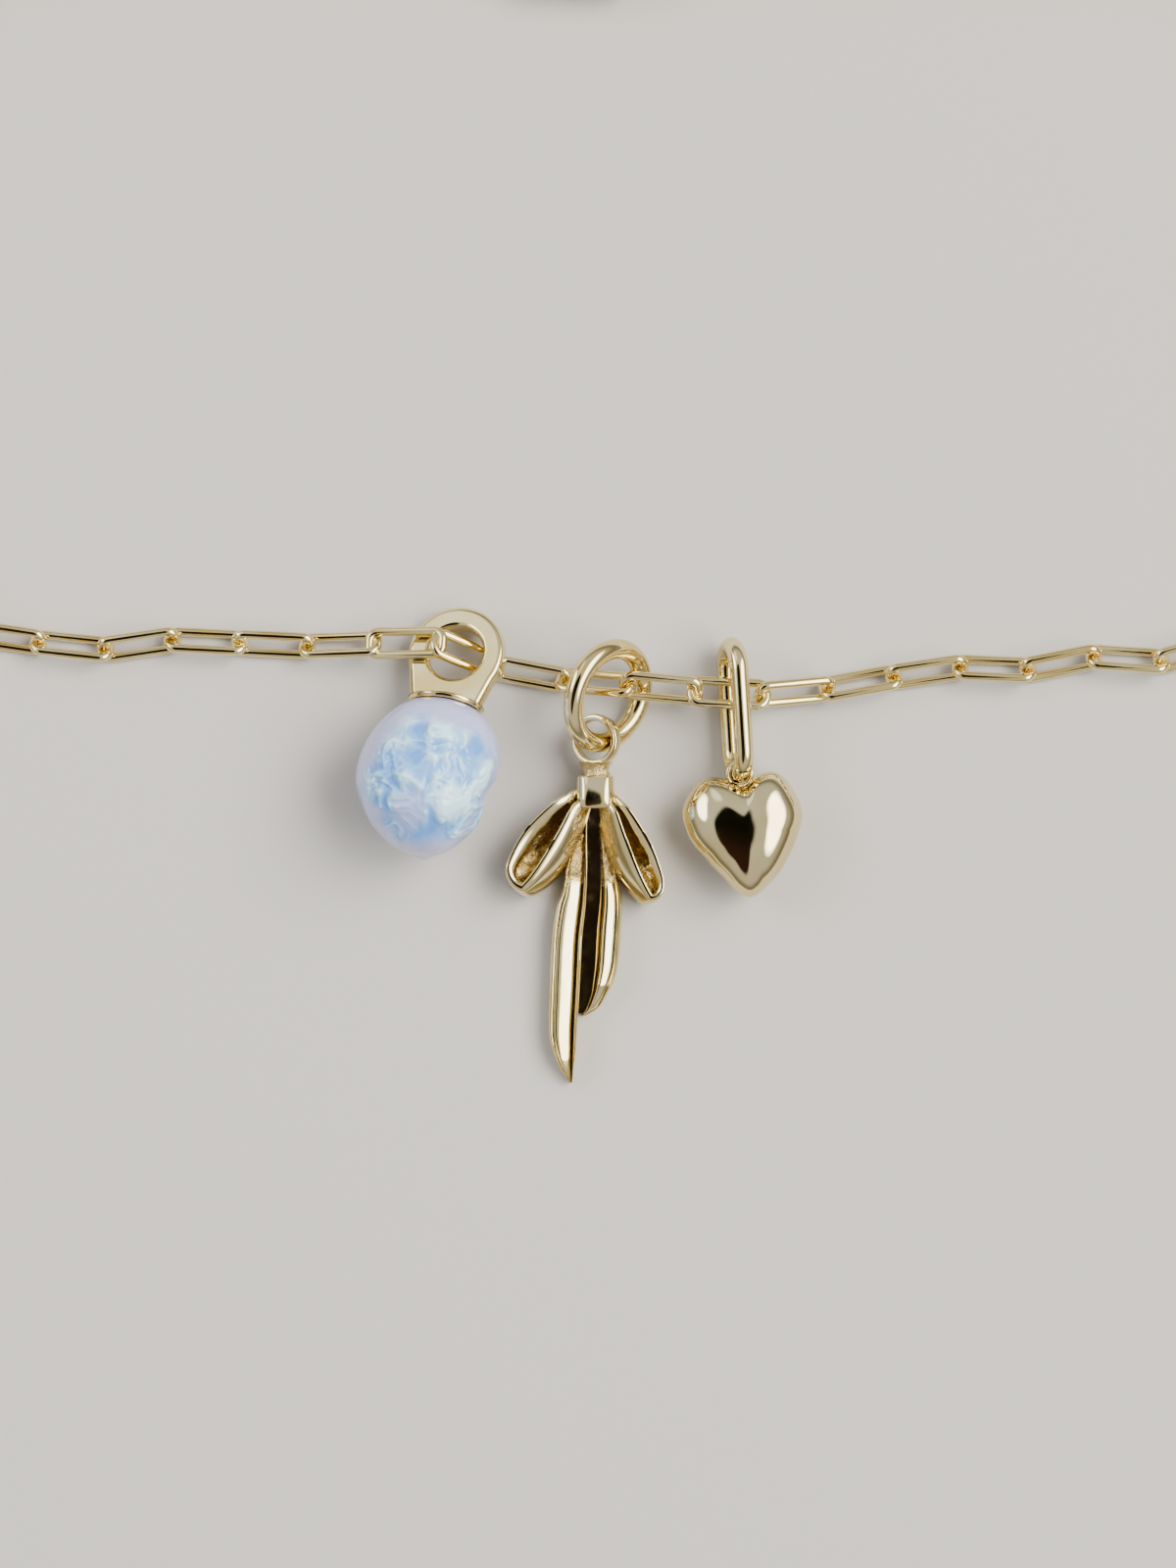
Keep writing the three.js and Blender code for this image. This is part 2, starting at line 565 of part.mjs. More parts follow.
function makeBow() {
  const knotAt = knotCentre();
  const half = KNOT_LENGTH / 2;
  const knotRadius = KNOT_WIDTH / 2;
  const profile = [
    [0, -half - 0.1], [knotRadius * 0.8, -half], [knotRadius, -half * 0.5], [knotRadius * 0.94, 0],
    [knotRadius, half * 0.5], [knotRadius * 0.85, half], [knotRadius * 0.88, half + NECK_LENGTH * 0.4],
    [knotRadius * 0.55, half + NECK_LENGTH], [0, half + NECK_LENGTH],
  ].map(([x, y]) => new THREE.Vector2(x, y));
  const knot = new THREE.LatheGeometry(profile, 16);
  knot.scale(1, 1, KNOT_DEPTH / KNOT_WIDTH).translate(knotAt.x, knotAt.y, knotAt.z);
  const tilt = BOW_EYELET_TILT * DEG;
  const eyelet = washer(BOW_EYELET_DIAMETER, BOW_EYELET_HOLE, BOW_EYELET_DEPTH, EYELET_BEVEL, EYELET_BEVEL,
    frameAt(eyeletCentre(), vector(Math.cos(tilt), 0, Math.sin(tilt)), vector(0, 0, 1)));
  return unite([
    solidOf(knot), solidOf(eyelet), ...BOW_LOOPS.map(ribbonLoop),
    tail(LONG_TAIL_ROWS, LONG_TAIL), tail(SHORT_TAIL_ROWS, SHORT_TAIL),
  ]);
}

// The heart's bail stands on its side, and the chain passes through it.
function heartBailFrame() {
  const turn = HEART_BAIL_TURN * DEG;
  const roll = HEART_BAIL_ROLL * DEG;
  const down = vector(Math.sin(turn), -Math.cos(turn), 0);
  const up = vector(Math.sin(roll), 0, Math.cos(roll));
  const halfHeight = ((HEART_BAIL_WIDTH - HEART_BAIL_WIRE) / 2) * Math.cos(roll);
  const centre = vector(HEART_BAIL_END.x, HEART_BAIL_END.y, halfHeight + HEART_BAIL_WIRE / 2)
    .addScaledVector(down, HEART_BAIL_LENGTH / 2);
  return frameAt(centre, down, down.clone().cross(up));
}

const heartBailHalf = () => (HEART_BAIL_LENGTH - HEART_BAIL_WIRE) / 2;

function makeHeartBail() {
  const halfWidth = (HEART_BAIL_WIDTH - HEART_BAIL_WIRE) / 2;
  const outline = roundedLoop(heartBailHalf(), halfWidth, halfWidth, 5);
  return solidOf(wireLoop(outline, heartBailFrame(), HEART_BAIL_WIRE, BAIL_SIDES));
}

function makeHeart() {
  const eyeletHole = HEART_BAIL_WIRE + 2 * RUN_GAP;
  const eyeletDiameter = eyeletHole + 2 * HEART_EYELET_WALL;
  const eyeletAt = pointIn(heartBailFrame(), heartBailHalf(), 0);
  const eyelet = washer(eyeletDiameter, eyeletHole, HEART_EYELET_DEPTH, EYELET_BEVEL, EYELET_BEVEL,
    frameAt(eyeletAt, vector(1, 0, 0), vector(0, 0, 1)));
  const outline = Array.from({ length: 32 }, (_, i) => {
    const t = ((i + 0.5) / 32) * 2 * Math.PI;
    const x = Math.sin(t) ** 3;
    const y = (13 * Math.cos(t) - 5 * Math.cos(2 * t) - 2 * Math.cos(3 * t) - Math.cos(4 * t)) / 29;
    return vector((x * HEART_WIDTH) / 2, (y + 0.04) * HEART_LENGTH, 0)
      .applyAxisAngle(vector(0, 0, 1), HEART_TURN * DEG);
  });
  const cleftDrop = HEART_LENGTH * 0.42;
  const root = eyeletDiameter / 2;
  const centre = vector(eyeletAt.x + HEART_SHIFT, eyeletAt.y - root - cleftDrop + HEART_SEAT,
    HEART_THICKNESS / 2);
  const body = puffed(outline, centre, HEART_THICKNESS / 2, 0.8, 0.7, 12);
  const stemLength = root + HEART_SEAT;
  const stem = new THREE.BoxGeometry(HEART_STEM_WIDTH, stemLength, HEART_EYELET_DEPTH - 2 * FACE_STEP);
  stem.translate(eyeletAt.x, eyeletAt.y - (eyeletHole + EYELET_BEVEL + stemLength) / 2, eyeletAt.z);
  return unite([solidOf(body), solidOf(eyelet), solidOf(stem)]);
}

// Materials: polished pale gold plate, and nacre
const gold = () => new THREE.MeshStandardMaterial({ color: 0xe3cf95, roughness: 0.18, metalness: 1 });
const nacre = () => new THREE.MeshStandardMaterial({ color: 0xcfdcf0, roughness: 0.3, metalness: 0 });

const route = loopRoute();
const leftJoints = jointsAlong(route, LEFT_LINKS, false);
const rightJoints = jointsAlong(route, RIGHT_LINKS, true);

const group = new THREE.Group();
group.name = 'charm_bracelet';
const pieces = [
  ['chain', makeChain(leftJoints, rightJoints), gold()],
  ['clasp', makeClasp(leftJoints.at(-1), rightJoints.at(-1)), gold()],
  ['pearl_bail', makePearlBail(), gold()],
  ['pearl', makePearl(), nacre()],
  ['bow_jump_ring', makeJumpRing(), gold()],
  ['bow', makeBow(), gold()],
  ['heart_bail', makeHeartBail(), gold()],
  ['heart', makeHeart(), gold()],
];
for (const [name, solid, material] of pieces) {
  const mesh = new THREE.Mesh(geometryOf(solid), material);
  mesh.name = name;
  group.add(mesh);
}

// The origin goes to the middle of the bracelet's footprint, on the surface it rests on.
const box = new THREE.Box3().setFromObject(group);
group.position.set(-(box.min.x + box.max.x) / 2, -(box.min.y + box.max.y) / 2, -box.min.z);

export default group;
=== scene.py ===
"""Dresses the charm bracelet: a cable chain loop with a baroque pearl, a ribbon bow and a puffed heart.

Shapes are modelled in millimetres, in the plan that the chain's route is given in, and are moved to the
frame in metres when each piece is finished.
"""

from __future__ import annotations

import logging
import math
from dataclasses import dataclass, field
from enum import Enum

import bmesh
import bpy
from mathutils import Matrix, Vector, noise

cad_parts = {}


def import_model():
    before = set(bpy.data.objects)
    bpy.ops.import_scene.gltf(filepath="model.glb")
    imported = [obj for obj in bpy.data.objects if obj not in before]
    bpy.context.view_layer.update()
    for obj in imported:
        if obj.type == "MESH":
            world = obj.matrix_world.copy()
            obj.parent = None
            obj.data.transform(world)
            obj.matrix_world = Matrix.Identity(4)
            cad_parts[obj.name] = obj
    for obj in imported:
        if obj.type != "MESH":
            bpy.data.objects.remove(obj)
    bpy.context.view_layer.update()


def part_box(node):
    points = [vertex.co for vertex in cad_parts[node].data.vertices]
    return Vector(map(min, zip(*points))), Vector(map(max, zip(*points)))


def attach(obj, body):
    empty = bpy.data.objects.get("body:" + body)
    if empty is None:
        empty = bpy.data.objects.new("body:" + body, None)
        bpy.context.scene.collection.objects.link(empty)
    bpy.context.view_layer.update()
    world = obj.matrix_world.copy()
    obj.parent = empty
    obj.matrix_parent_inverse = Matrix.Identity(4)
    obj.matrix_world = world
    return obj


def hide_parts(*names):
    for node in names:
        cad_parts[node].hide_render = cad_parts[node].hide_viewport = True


LOG = logging.getLogger("charm_bracelet")
MM = 0.001
UP = Vector((0.0, 0.0, 1.0))

# The photograph's height in pixels, and its scale on the surface that the bracelet lies on
PHOTO_HEIGHT = 1600
PIXELS_PER_MM = 20.5

# The camera's height over the charms and its sensor, in millimetres
CAMERA_DISTANCE = 200.0
SENSOR = 36.0

# The middle of the photograph in the plan, in millimetres
VIEW_CENTRE = Vector((0.0, -13.32, 1.2))

# An edge that turns by more than this, in radians, is a rim
RIM_ANGLE = 1.0

Colour = tuple[float, float, float, float]


class Slot(Enum):
    """The record's material slots."""

    CHAIN = "chain_gold"
    CHARM = "charm_gold"
    CAST = "cast_gold"
    MIRROR = "mirror_gold"
    NACRE = "nacre"


def linear(hex_colour: str) -> Colour:
    """Turns an sRGB hex colour to linear.

    Args:
        hex_colour: six hex digits, such as "e6d9a8".

    Returns:
        The linear colour with an alpha of 1.
    """
    parts = [int(hex_colour[i:i + 2], 16) / 255.0 for i in (0, 2, 4)]
    red, green, blue = (p / 12.92 if p <= 0.04045 else ((p + 0.055) / 1.055) ** 2.4 for p in parts)
    return (red, green, blue, 1.0)


def held(value: float) -> float:
    """The value, held between 0 and 1."""
    return max(0.0, min(1.0, value))


def add_node(tree: bpy.types.NodeTree, kind: str, inputs: dict | None = None,
             **settings: object) -> bpy.types.Node:
    """Adds a shader node with its settings and links.

    Args:
        tree: the node tree.
        kind: the node's type name.
        inputs: input name or index to a value, to a socket that feeds it, or to a node whose first output
            feeds it.
        settings: attributes of the node itself.

    Returns:
        The new node.
    """
    node = tree.nodes.new(kind)
    for key, value in settings.items():
        setattr(node, key, value)
    for key, value in (inputs or {}).items():
        if isinstance(value, bpy.types.Node):
            value = value.outputs[0]
        if isinstance(value, bpy.types.NodeSocket):
            tree.links.new(value, node.inputs[key])
        else:
            node.inputs[key].default_value = value
    return node


def new_material(name: str) -> bpy.types.Material:
    """Makes an empty node material.

    Args:
        name: the material's name.

    Returns:
        The material.
    """
    material = bpy.data.materials.new(name)
    material.use_nodes = True
    material.node_tree.nodes.clear()
    return material


def per_metre(size_mm: float) -> float:
    """The texture scale whose features are about size_mm across."""
    return 1.0 / (size_mm * MM)


@dataclass(frozen=True)
class GoldPlate:
    """Pale gold plate over brass: it takes the colour of what it reflects, warmed a little.

    A thin plate is never quite even, so the tone drifts between two golds, and the polish leaves a faint
    ripple and fine rubs that blur the reflection here and there.
    """

    name: str
    slot: Slot
    tone: str
    deep: str
    rub: tuple[float, float]
    ripple_mm: float
    ripple_height_mm: float
    cast: bool = False
    drift_mm: float = 2.5
    rub_mm: float = 0.6
    raw_tone: str = "c8ab68"
    raw_strength: float = 0.7
    raw_blur: float = 0.16
    sand_mm: float = 0.2
    sand_height_mm: float = 0.12

    def material(self) -> bpy.types.Material:
        """Builds the node material.

        Returns:
            The material.
        """
        material = new_material(self.name)
        tree = material.node_tree
        place = add_node(tree, "ShaderNodeTexCoord").outputs["Object"]
        drift = add_node(tree, "ShaderNodeTexNoise", {
            "Vector": place, "Scale": per_metre(self.drift_mm), "Detail": 2.0, "Roughness": 0.5})
        deeper = add_node(tree, "ShaderNodeMapRange", {
            "Value": drift, "From Min": 0.35, "From Max": 0.65, "To Min": 0.0, "To Max": 1.0})
        colour = add_node(tree, "ShaderNodeMix", {0: deeper, 6: linear(self.tone), 7: linear(self.deep)},
                          data_type="RGBA").outputs[2]
        rubs = add_node(tree, "ShaderNodeTexNoise", {
            "Vector": place, "Scale": per_metre(self.rub_mm), "Detail": 4.0, "Roughness": 0.6})
        roughness = add_node(tree, "ShaderNodeMapRange", {
            "Value": rubs, "From Min": 0.4, "From Max": 0.7, "To Min": self.rub[0], "To Max": self.rub[1]})
        ripple = add_node(tree, "ShaderNodeTexNoise", {
            "Vector": place, "Scale": per_metre(self.ripple_mm), "Detail": 1.0, "Roughness": 0.5})
        normal = add_node(tree, "ShaderNodeBump", {
            "Height": ripple, "Distance": self.ripple_height_mm * MM, "Strength": 1.0})
        if self.cast:
            raw = add_node(tree, "ShaderNodeAttribute", attribute_name="as_cast").outputs["Fac"]
            # Plate sits deeper and yellower on the unpolished skin
            share = add_node(tree, "ShaderNodeMath", {0: raw, 1: self.raw_strength}, operation="MULTIPLY")
            colour = add_node(tree, "ShaderNodeMix", {0: share, 6: colour, 7: linear(self.raw_tone)},
                              data_type="RGBA").outputs[2]
            # Sand texture of an unpolished casting: grains of about 0.12 mm, drawn at 0.2 mm
            sand = add_node(tree, "ShaderNodeTexNoise", {
                "Vector": place, "Scale": per_metre(self.sand_mm), "Detail": 3.0, "Roughness": 0.7})
            normal = add_node(tree, "ShaderNodeBump", {
                "Height": sand, "Distance": self.sand_height_mm * MM, "Strength": raw, "Normal": normal})
            blur = add_node(tree, "ShaderNodeMath", {0: raw, 1: self.raw_blur}, operation="MULTIPLY")
            roughness = add_node(tree, "ShaderNodeMath", {0: roughness, 1: blur}, operation="ADD")
        shader = add_node(tree, "ShaderNodeBsdfPrincipled", {
            "Base Color": colour, "Metallic": 1.0, "Roughness": roughness, "Normal": normal})
        add_node(tree, "ShaderNodeOutputMaterial", {"Surface": shader})
        return material


@dataclass(frozen=True)
class Nacre:
    """Freshwater nacre: a milky body under a satin skin, lavender at its rim and sky blue on its crown.

    The crown's folds carry painted light: their crests get a pale cyan painted highlight, and the skin
    between them a deeper blue painted shade, over the nacre's sky blue.
    """

    name: str = "baroque_nacre"
    slot: Slot = Slot.NACRE
    rim: str = "acb3dc"
    # deep is a painted shade for the valleys between the folds, crest a painted highlight on their crests
    deep: str = "5b97de"
    core: str = "82b9ec"
    crest: str = "c6effc"
    cloud_mm: float = 1.4
    ripple_mm: float = 0.5
    ripple_height_mm: float = 0.02

    def material(self) -> bpy.types.Material:
        """Builds the node material.

        Returns:
            The material.
        """
        material = new_material(self.name)
        tree = material.node_tree
        place = add_node(tree, "ShaderNodeTexCoord").outputs["Object"]
        crown = add_node(tree, "ShaderNodeAttribute", attribute_name="crown").outputs["Fac"]
        crest = add_node(tree, "ShaderNodeAttribute", attribute_name="crest").outputs["Fac"]
        # The overtone drifts in clouds of about a millimetre, drawn at 1.4 mm
        cloud = add_node(tree, "ShaderNodeTexNoise", {
            "Vector": place, "Scale": per_metre(self.cloud_mm), "Detail": 3.0, "Roughness": 0.6})
        shift = add_node(tree, "ShaderNodeMapRange", {
            "Value": cloud, "From Min": 0.35, "From Max": 0.65, "To Min": -0.2, "To Max": 0.2})
        drifted = add_node(tree, "ShaderNodeMath", {0: crown, 1: shift}, operation="ADD")
        zone = add_node(tree, "ShaderNodeMapRange", {
            "Value": drifted, "From Min": 0.1, "From Max": 0.8, "To Min": 0.0, "To Max": 1.0})
        # Painted light on the folds: deep blue painted shade in the valleys, the core's blue between, pale
        # cyan painted highlight on the crests
        painted_fold_light = add_node(tree, "ShaderNodeValToRGB", {"Fac": crest})
        stops = painted_fold_light.color_ramp.elements
        stops[0].position, stops[0].color = 0.05, linear(self.deep)
        stops[1].position, stops[1].color = 0.85, linear(self.crest)
        middle = stops.new(0.4)
        middle.color = linear(self.core)
        skin = add_node(tree, "ShaderNodeMix", {0: zone, 6: linear(self.rim), 7: painted_fold_light}, data_type="RGBA")
        ripple = add_node(tree, "ShaderNodeTexNoise", {
            "Vector": place, "Scale": per_metre(self.ripple_mm), "Detail": 3.0, "Roughness": 0.55})
        normal = add_node(tree, "ShaderNodeBump", {
            "Height": ripple, "Distance": self.ripple_height_mm * MM, "Strength": zone})
        shader = add_node(tree, "ShaderNodeBsdfPrincipled", {
            "Base Color": skin.outputs[2], "Normal": normal, "Roughness": 0.26, "IOR": 1.53,
            "Coat Weight": 0.7, "Coat Roughness": 0.08,
            "Subsurface Weight": 0.06, "Subsurface Scale": 0.25 * MM})
        add_node(tree, "ShaderNodeOutputMaterial", {"Surface": shader})
        return material


CHAIN_GOLD = GoldPlate("drawn_brass_gold_plate", Slot.CHAIN, "f0e0a8", "e2ca84", (0.06, 0.16), 1.2, 0.004)
CHARM_GOLD = GoldPlate("polished_gold_plate", Slot.CHARM, "efe0ac", "e1cb8a", (0.05, 0.15), 1.5, 0.006)
CAST_GOLD = GoldPlate("cast_gold_plate", Slot.CAST, "ecdeb0", "dcc78a", (0.06, 0.17), 1.1, 0.008, cast=True)
MIRROR_GOLD = GoldPlate("mirror_gold_plate", Slot.MIRROR, "e9dcae", "d9c78e", (0.03, 0.1), 2.2, 0.008)


def basis(origin: Vector, along: Vector, up: Vector) -> Matrix:
    """A place and three axes as a matrix.

    Args:
        origin: the place.
        along: the X axis.
        up: near the Z axis, which is squared to along.

    Returns:
        The matrix from local to plan coordinates.
    """
    x = along.normalized()
    z = (up - x * up.dot(x)).normalized()
    y = z.cross(x)
    return Matrix.Translation(origin) @ Matrix((x, y, z)).transposed().to_4x4()


def section(mesh: bmesh.types.BMesh, points: list[Vector]) -> list[bmesh.types.BMEdge]:
    """Draws a closed ring of vertices.

    Args:
        mesh: the mesh that gets the ring.
        points: its corners in order.

    Returns:
        The ring's edges.
    """
    corners = [mesh.verts.new(point) for point in points]
    return [mesh.edges.new((corner, corners[(i + 1) % len(corners)])) for i, corner in enumerate(corners)]


def loft(mesh: bmesh.types.BMesh, rings: list[list[Vector]], closed: bool) -> None:
    """Bridges a row of rings into a skin.

    Args:
        mesh: the mesh that gets the skin.
        rings: the corners of each ring, all of one count.
        closed: joins the last ring to the first; otherwise both ends are filled.
    """
    drawn = [section(mesh, ring) for ring in rings]
    pairs = list(zip(drawn, drawn[1:] + drawn[:1])) if closed else list(zip(drawn, drawn[1:]))
    for near, far in pairs:
        bmesh.ops.bridge_loops(mesh, edges=near + far)
    if not closed:
        bmesh.ops.holes_fill(mesh, edges=drawn[0] + drawn[-1], sides=0)
    bmesh.ops.recalc_face_normals(mesh, faces=mesh.faces)


def on_circle(radius: float, turn: float) -> Vector:
    """A point of a circle round the Z axis, at a turn in radians."""
    return Vector((radius * math.cos(turn), radius * math.sin(turn), 0.0))


def wire_loop(half_length: float, half_width: float, corner: float, wire: float, sides: int,
              steps: int) -> bpy.types.Mesh:
    """A round wire bent to a rectangle with round corners, flat in XY and centred.

    Args:
        half_length: from the centre to the wire's middle line along X.
        half_width: the same along Y.
        corner: radius of the middle line at the corners.
        wire: the wire's diameter.
        sides: sides of the wire.
        steps: steps round each corner.

    Returns:
        The mesh, in millimetres.
    """
    mesh = bmesh.new()
    upright = Matrix.Rotation(math.pi / 2, 4, "Y")
    start = Matrix.Translation((corner - half_length, -half_width, 0.0)) @ upright
    ring = bmesh.ops.create_circle(mesh, segments=sides, radius=wire / 2, matrix=start)["verts"]
    edges = list({edge for vert in ring for edge in vert.link_edges})
    runs = [(Vector((1, 0, 0)), half_length), (Vector((0, 1, 0)), half_width),
            (Vector((-1, 0, 0)), half_length), (Vector((0, -1, 0)), half_width)]
    turns = [(1, -1), (1, 1), (-1, 1), (-1, -1)]
    for (heading, half), (right, top) in zip(runs, turns):
        # A straight run, then a quarter turn
        run = 2 * (half - corner)
        if run > 1e-4:
            drawn = bmesh.ops.extrude_edge_only(mesh, edges=edges)["geom"]
            bmesh.ops.translate(mesh, verts=[g for g in drawn if isinstance(g, bmesh.types.BMVert)],
                                vec=heading * run)
            edges = [g for g in drawn if isinstance(g, bmesh.types.BMEdge)
                     and all(v in drawn for v in g.verts)]
        centre = (right * (half_length - corner), top * (half_width - corner), 0.0)
        last = bmesh.ops.spin(mesh, geom=edges, cent=centre, axis=(0, 0, 1), dvec=(0, 0, 0),
                              angle=math.pi / 2, steps=steps, use_duplicate=False)["geom_last"]
        edges = [g for g in last if isinstance(g, bmesh.types.BMEdge)]
    bmesh.ops.remove_doubles(mesh, verts=mesh.verts, dist=1e-3)
    bmesh.ops.recalc_face_normals(mesh, faces=mesh.faces)
    return to_mesh(mesh, "wire_loop")


def spin_round(mesh: bmesh.types.BMesh, edges: list[bmesh.types.BMEdge], steps: int) -> None:
    """Turns a closed section once round the Z axis into a ring.

    Args:
        mesh: the mesh that holds the section.
        edges: the section's edges.
        steps: steps round the ring.
    """
    bmesh.ops.spin(mesh, geom=edges, cent=(0, 0, 0), axis=(0, 0, 1), dvec=(0, 0, 0),
                   angle=2 * math.pi, steps=steps, use_merge=True, use_duplicate=False)
    bmesh.ops.recalc_face_normals(mesh, faces=mesh.faces)


def rims_of(mesh: bmesh.types.BMesh) -> list[bmesh.types.BMEdge]:
    """The edges where two faces meet at a clear angle."""
    return [edge for edge in mesh.edges if edge.is_manifold and edge.calc_face_angle() > RIM_ANGLE]


def round_rims(mesh: bmesh.types.BMesh, rims: list[bmesh.types.BMEdge], width: float, segments: int) -> None:
    """Rounds edges off.

    Args:
        mesh: the mesh.
        rims: the edges.
        width: how far each is rounded to either side.
        segments: faces across the rounding.
    """
    bmesh.ops.bevel(mesh, geom=rims, offset=width, segments=segments, profile=0.5, affect="EDGES",
                    material=-1)


def to_mesh(mesh: bmesh.types.BMesh, name: str) -> bpy.types.Mesh:
    """Turns a bmesh into mesh data and frees it.

    Args:
        mesh: the bmesh.
        name: the name of the data.

    Returns:
        The mesh data.
    """
    data = bpy.data.meshes.new(name)
    mesh.to_mesh(data)
    mesh.free()
    return data


def add_object(name: str, data: bpy.types.ID) -> bpy.types.Object:
    """Puts mesh, light or camera data into the scene.

    Args:
        name: the object's name.
        data: its data.

    Returns:
        The object.
    """
    thing = bpy.data.objects.new(name, data)
    bpy.context.scene.collection.objects.link(thing)
    return thing


def joined(parts: list[tuple[bpy.types.Mesh, Matrix]], name: str) -> bpy.types.Mesh:
    """Joins copies of meshes, each under its own matrix.

    Args:
        parts: mesh and matrix of each copy.
        name: the new mesh's name.

    Returns:
        One mesh with all of the copies.
    """
    whole = bmesh.new()
    for data, matrix in parts:
        before = len(whole.verts)
        whole.from_mesh(data)
        whole.verts.ensure_lookup_table()
        bmesh.ops.transform(whole, matrix=matrix, verts=whole.verts[before:])
    return to_mesh(whole, name)


def applied(data: bpy.types.Mesh, kind: str, **settings: object) -> bpy.types.Mesh:
    """Applies one modifier to mesh data.

    Args:
        data: the mesh.
        kind: the modifier's type.
        settings: the modifier's settings.

    Returns:
        The changed mesh.
    """
    holder = add_object("holder", data)
    modifier = holder.modifiers.new(kind.lower(), kind)
    for key, value in settings.items():
        setattr(modifier, key, value)
    bpy.context.view_layer.update()
    shaped = holder.evaluated_get(bpy.context.evaluated_depsgraph_get())
    result = bpy.data.meshes.new_from_object(shaped)
    bpy.data.objects.remove(holder)
    return result


def fused(parts: list[bpy.types.Mesh]) -> bpy.types.Mesh:
    """Joins closed meshes into one skin with booleans.

    Args:
        parts: the meshes, which overlap where they are soldered.

    Returns:
        One closed mesh.
    """
    whole = parts[0]
    for part in parts[1:]:
        tool = add_object("tool", part)
        whole = applied(whole, "BOOLEAN", operation="UNION", solver="MANIFOLD", object=tool)
        bpy.data.objects.remove(tool)
    return whole


def ring_mesh(diameter: float, hole: float, thickness: float, bevel: float) -> bpy.types.Mesh:
    """A flat ring with softened rims, its axis along Z.

    Args:
        diameter: outside.
        hole: inside.
        thickness: along its axis.
        bevel: how far each rim is rounded.

    Returns:
        The mesh, in millimetres.
    """
    mesh = bmesh.new()
    inside, outside, half = hole / 2, diameter / 2, thickness / 2
    profile = [Vector((x, 0.0, z)) for x, z in
               ((inside, -half), (outside, -half), (outside, half), (inside, half))]
    spin_round(mesh, section(mesh, profile), steps=72)
    round_rims(mesh, rims_of(mesh), bevel, 4)
    return to_mesh(mesh, "ring")


def between(rows: list[tuple[float, ...]], at: float, column: int) -> float:
    """Reads a table at a place between its rows, with an easy curve through them.

    Args:
        rows: rows sorted by their first column.
        at: a value in the first column's range.
        column: the column that is read.

    Returns:
        The value there.
    """
    if at <= rows[0][0]:
        return rows[0][column]
    for i, (low, high) in enumerate(zip(rows, rows[1:])):
        if at <= high[0]:
            before, after = rows[max(i - 1, 0)], rows[min(i + 2, len(rows) - 1)]
            span = high[0] - low[0]
            share = (at - low[0]) / span
            start = (high[column] - before[column]) / max(high[0] - before[0], 1e-9) * span
            end = (after[column] - low[column]) / max(after[0] - low[0], 1e-9) * span
            s2, s3 = share * share, share ** 3
            return ((2 * s3 - 3 * s2 + 1) * low[column] + (s3 - 2 * s2 + share) * start
                    + (3 * s2 - 2 * s3) * high[column] + (s3 - s2) * end)
    return rows[-1][column]


def reach_round(rows: tuple[tuple[float, float], ...], turn: float) -> float:
    """Reads an outline that is given all the way round.

    Args:
        rows: degrees and reach, sorted by degrees.
        turn: the degrees where it is read.

    Returns:
        The reach there.
    """
    ring = [(rows[-1][0] - 360.0, rows[-1][1]), *rows, (rows[0][0] + 360.0, rows[0][1])]
    turn = turn % 360.0
    if turn > ring[-1][0]:
        turn -= 360.0
    return between(ring, turn, 1)


@dataclass(frozen=True)
class Puff:
    """A puffed body, round from the side and with an outline of its own from above.

    The outline is given as degrees from the right and reach as a share of the radius. Fullness is how far
    the body stands back from a ball's curve, mellow how much of the outline it loses on the way up, and
    level the even reach that takes its place.
    """

    radius: float
    half_height: float
    fullness: float
    mellow: float
    level: float
    outline: tuple[tuple[float, float], ...]

    def point(self, way: Vector) -> Vector:
        """The surface in one direction.

        Args:
            way: a unit vector from the centre.

        Returns:
            The point, from the centre.
        """
        drawn = math.cos(math.asin(max(-1.0, min(1.0, way.z)))) ** self.fullness
        ease = self.mellow * (1.0 - drawn)
        turn = math.atan2(way.y, way.x)
        share = reach_round(self.outline, math.degrees(turn))
        flat = self.radius * drawn * (share * (1.0 - ease) + ease * self.level)
        return Vector((flat * math.cos(turn), flat * math.sin(turn), self.half_height * way.z))


@dataclass
class Piece:
    """One finished piece: its mesh in millimetres of the plan, its finish and the node it stands for."""

    name: str
    node: str
    data: bpy.types.Mesh
    finish: GoldPlate | Nacre
    sharp: float = 40.0
    flat: Vector | None = None

    def place(self, shift: Vector) -> bpy.types.Object:
        """Moves the mesh into the frame and dresses it.

        Args:
            shift: from the plan to the frame, in millimetres.

        Returns:
            The object.
        """
        self.data.transform(Matrix.Scale(MM, 4) @ Matrix.Translation(shift))
        self.data.polygons.foreach_set("use_smooth", [True] * len(self.data.polygons))
        self.data.set_sharp_from_angle(angle=math.radians(self.sharp))
        if self.flat:
            self.crease_flats()
        self.data.name = self.name
        self.data.materials.clear()
        self.data.materials.append(self.finish.material())
        piece = add_object(self.name, self.data)
        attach(piece, "root")
        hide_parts(self.node)
        LOG.info("%s: %d faces", self.name, len(self.data.polygons))
        return piece

    def crease_flats(self) -> None:
        """Marks the edges round the piece's flat faces sharp, so that its flats reflect as flats."""
        mesh = bmesh.new()
        mesh.from_mesh(self.data)
        for edge in mesh.edges:
            if edge.is_manifold:
                one, other = (abs(face.normal.dot(self.flat)) > 0.9999 for face in edge.link_faces)
                if one != other:
                    edge.smooth = False
        mesh.to_mesh(self.data)
        mesh.free()


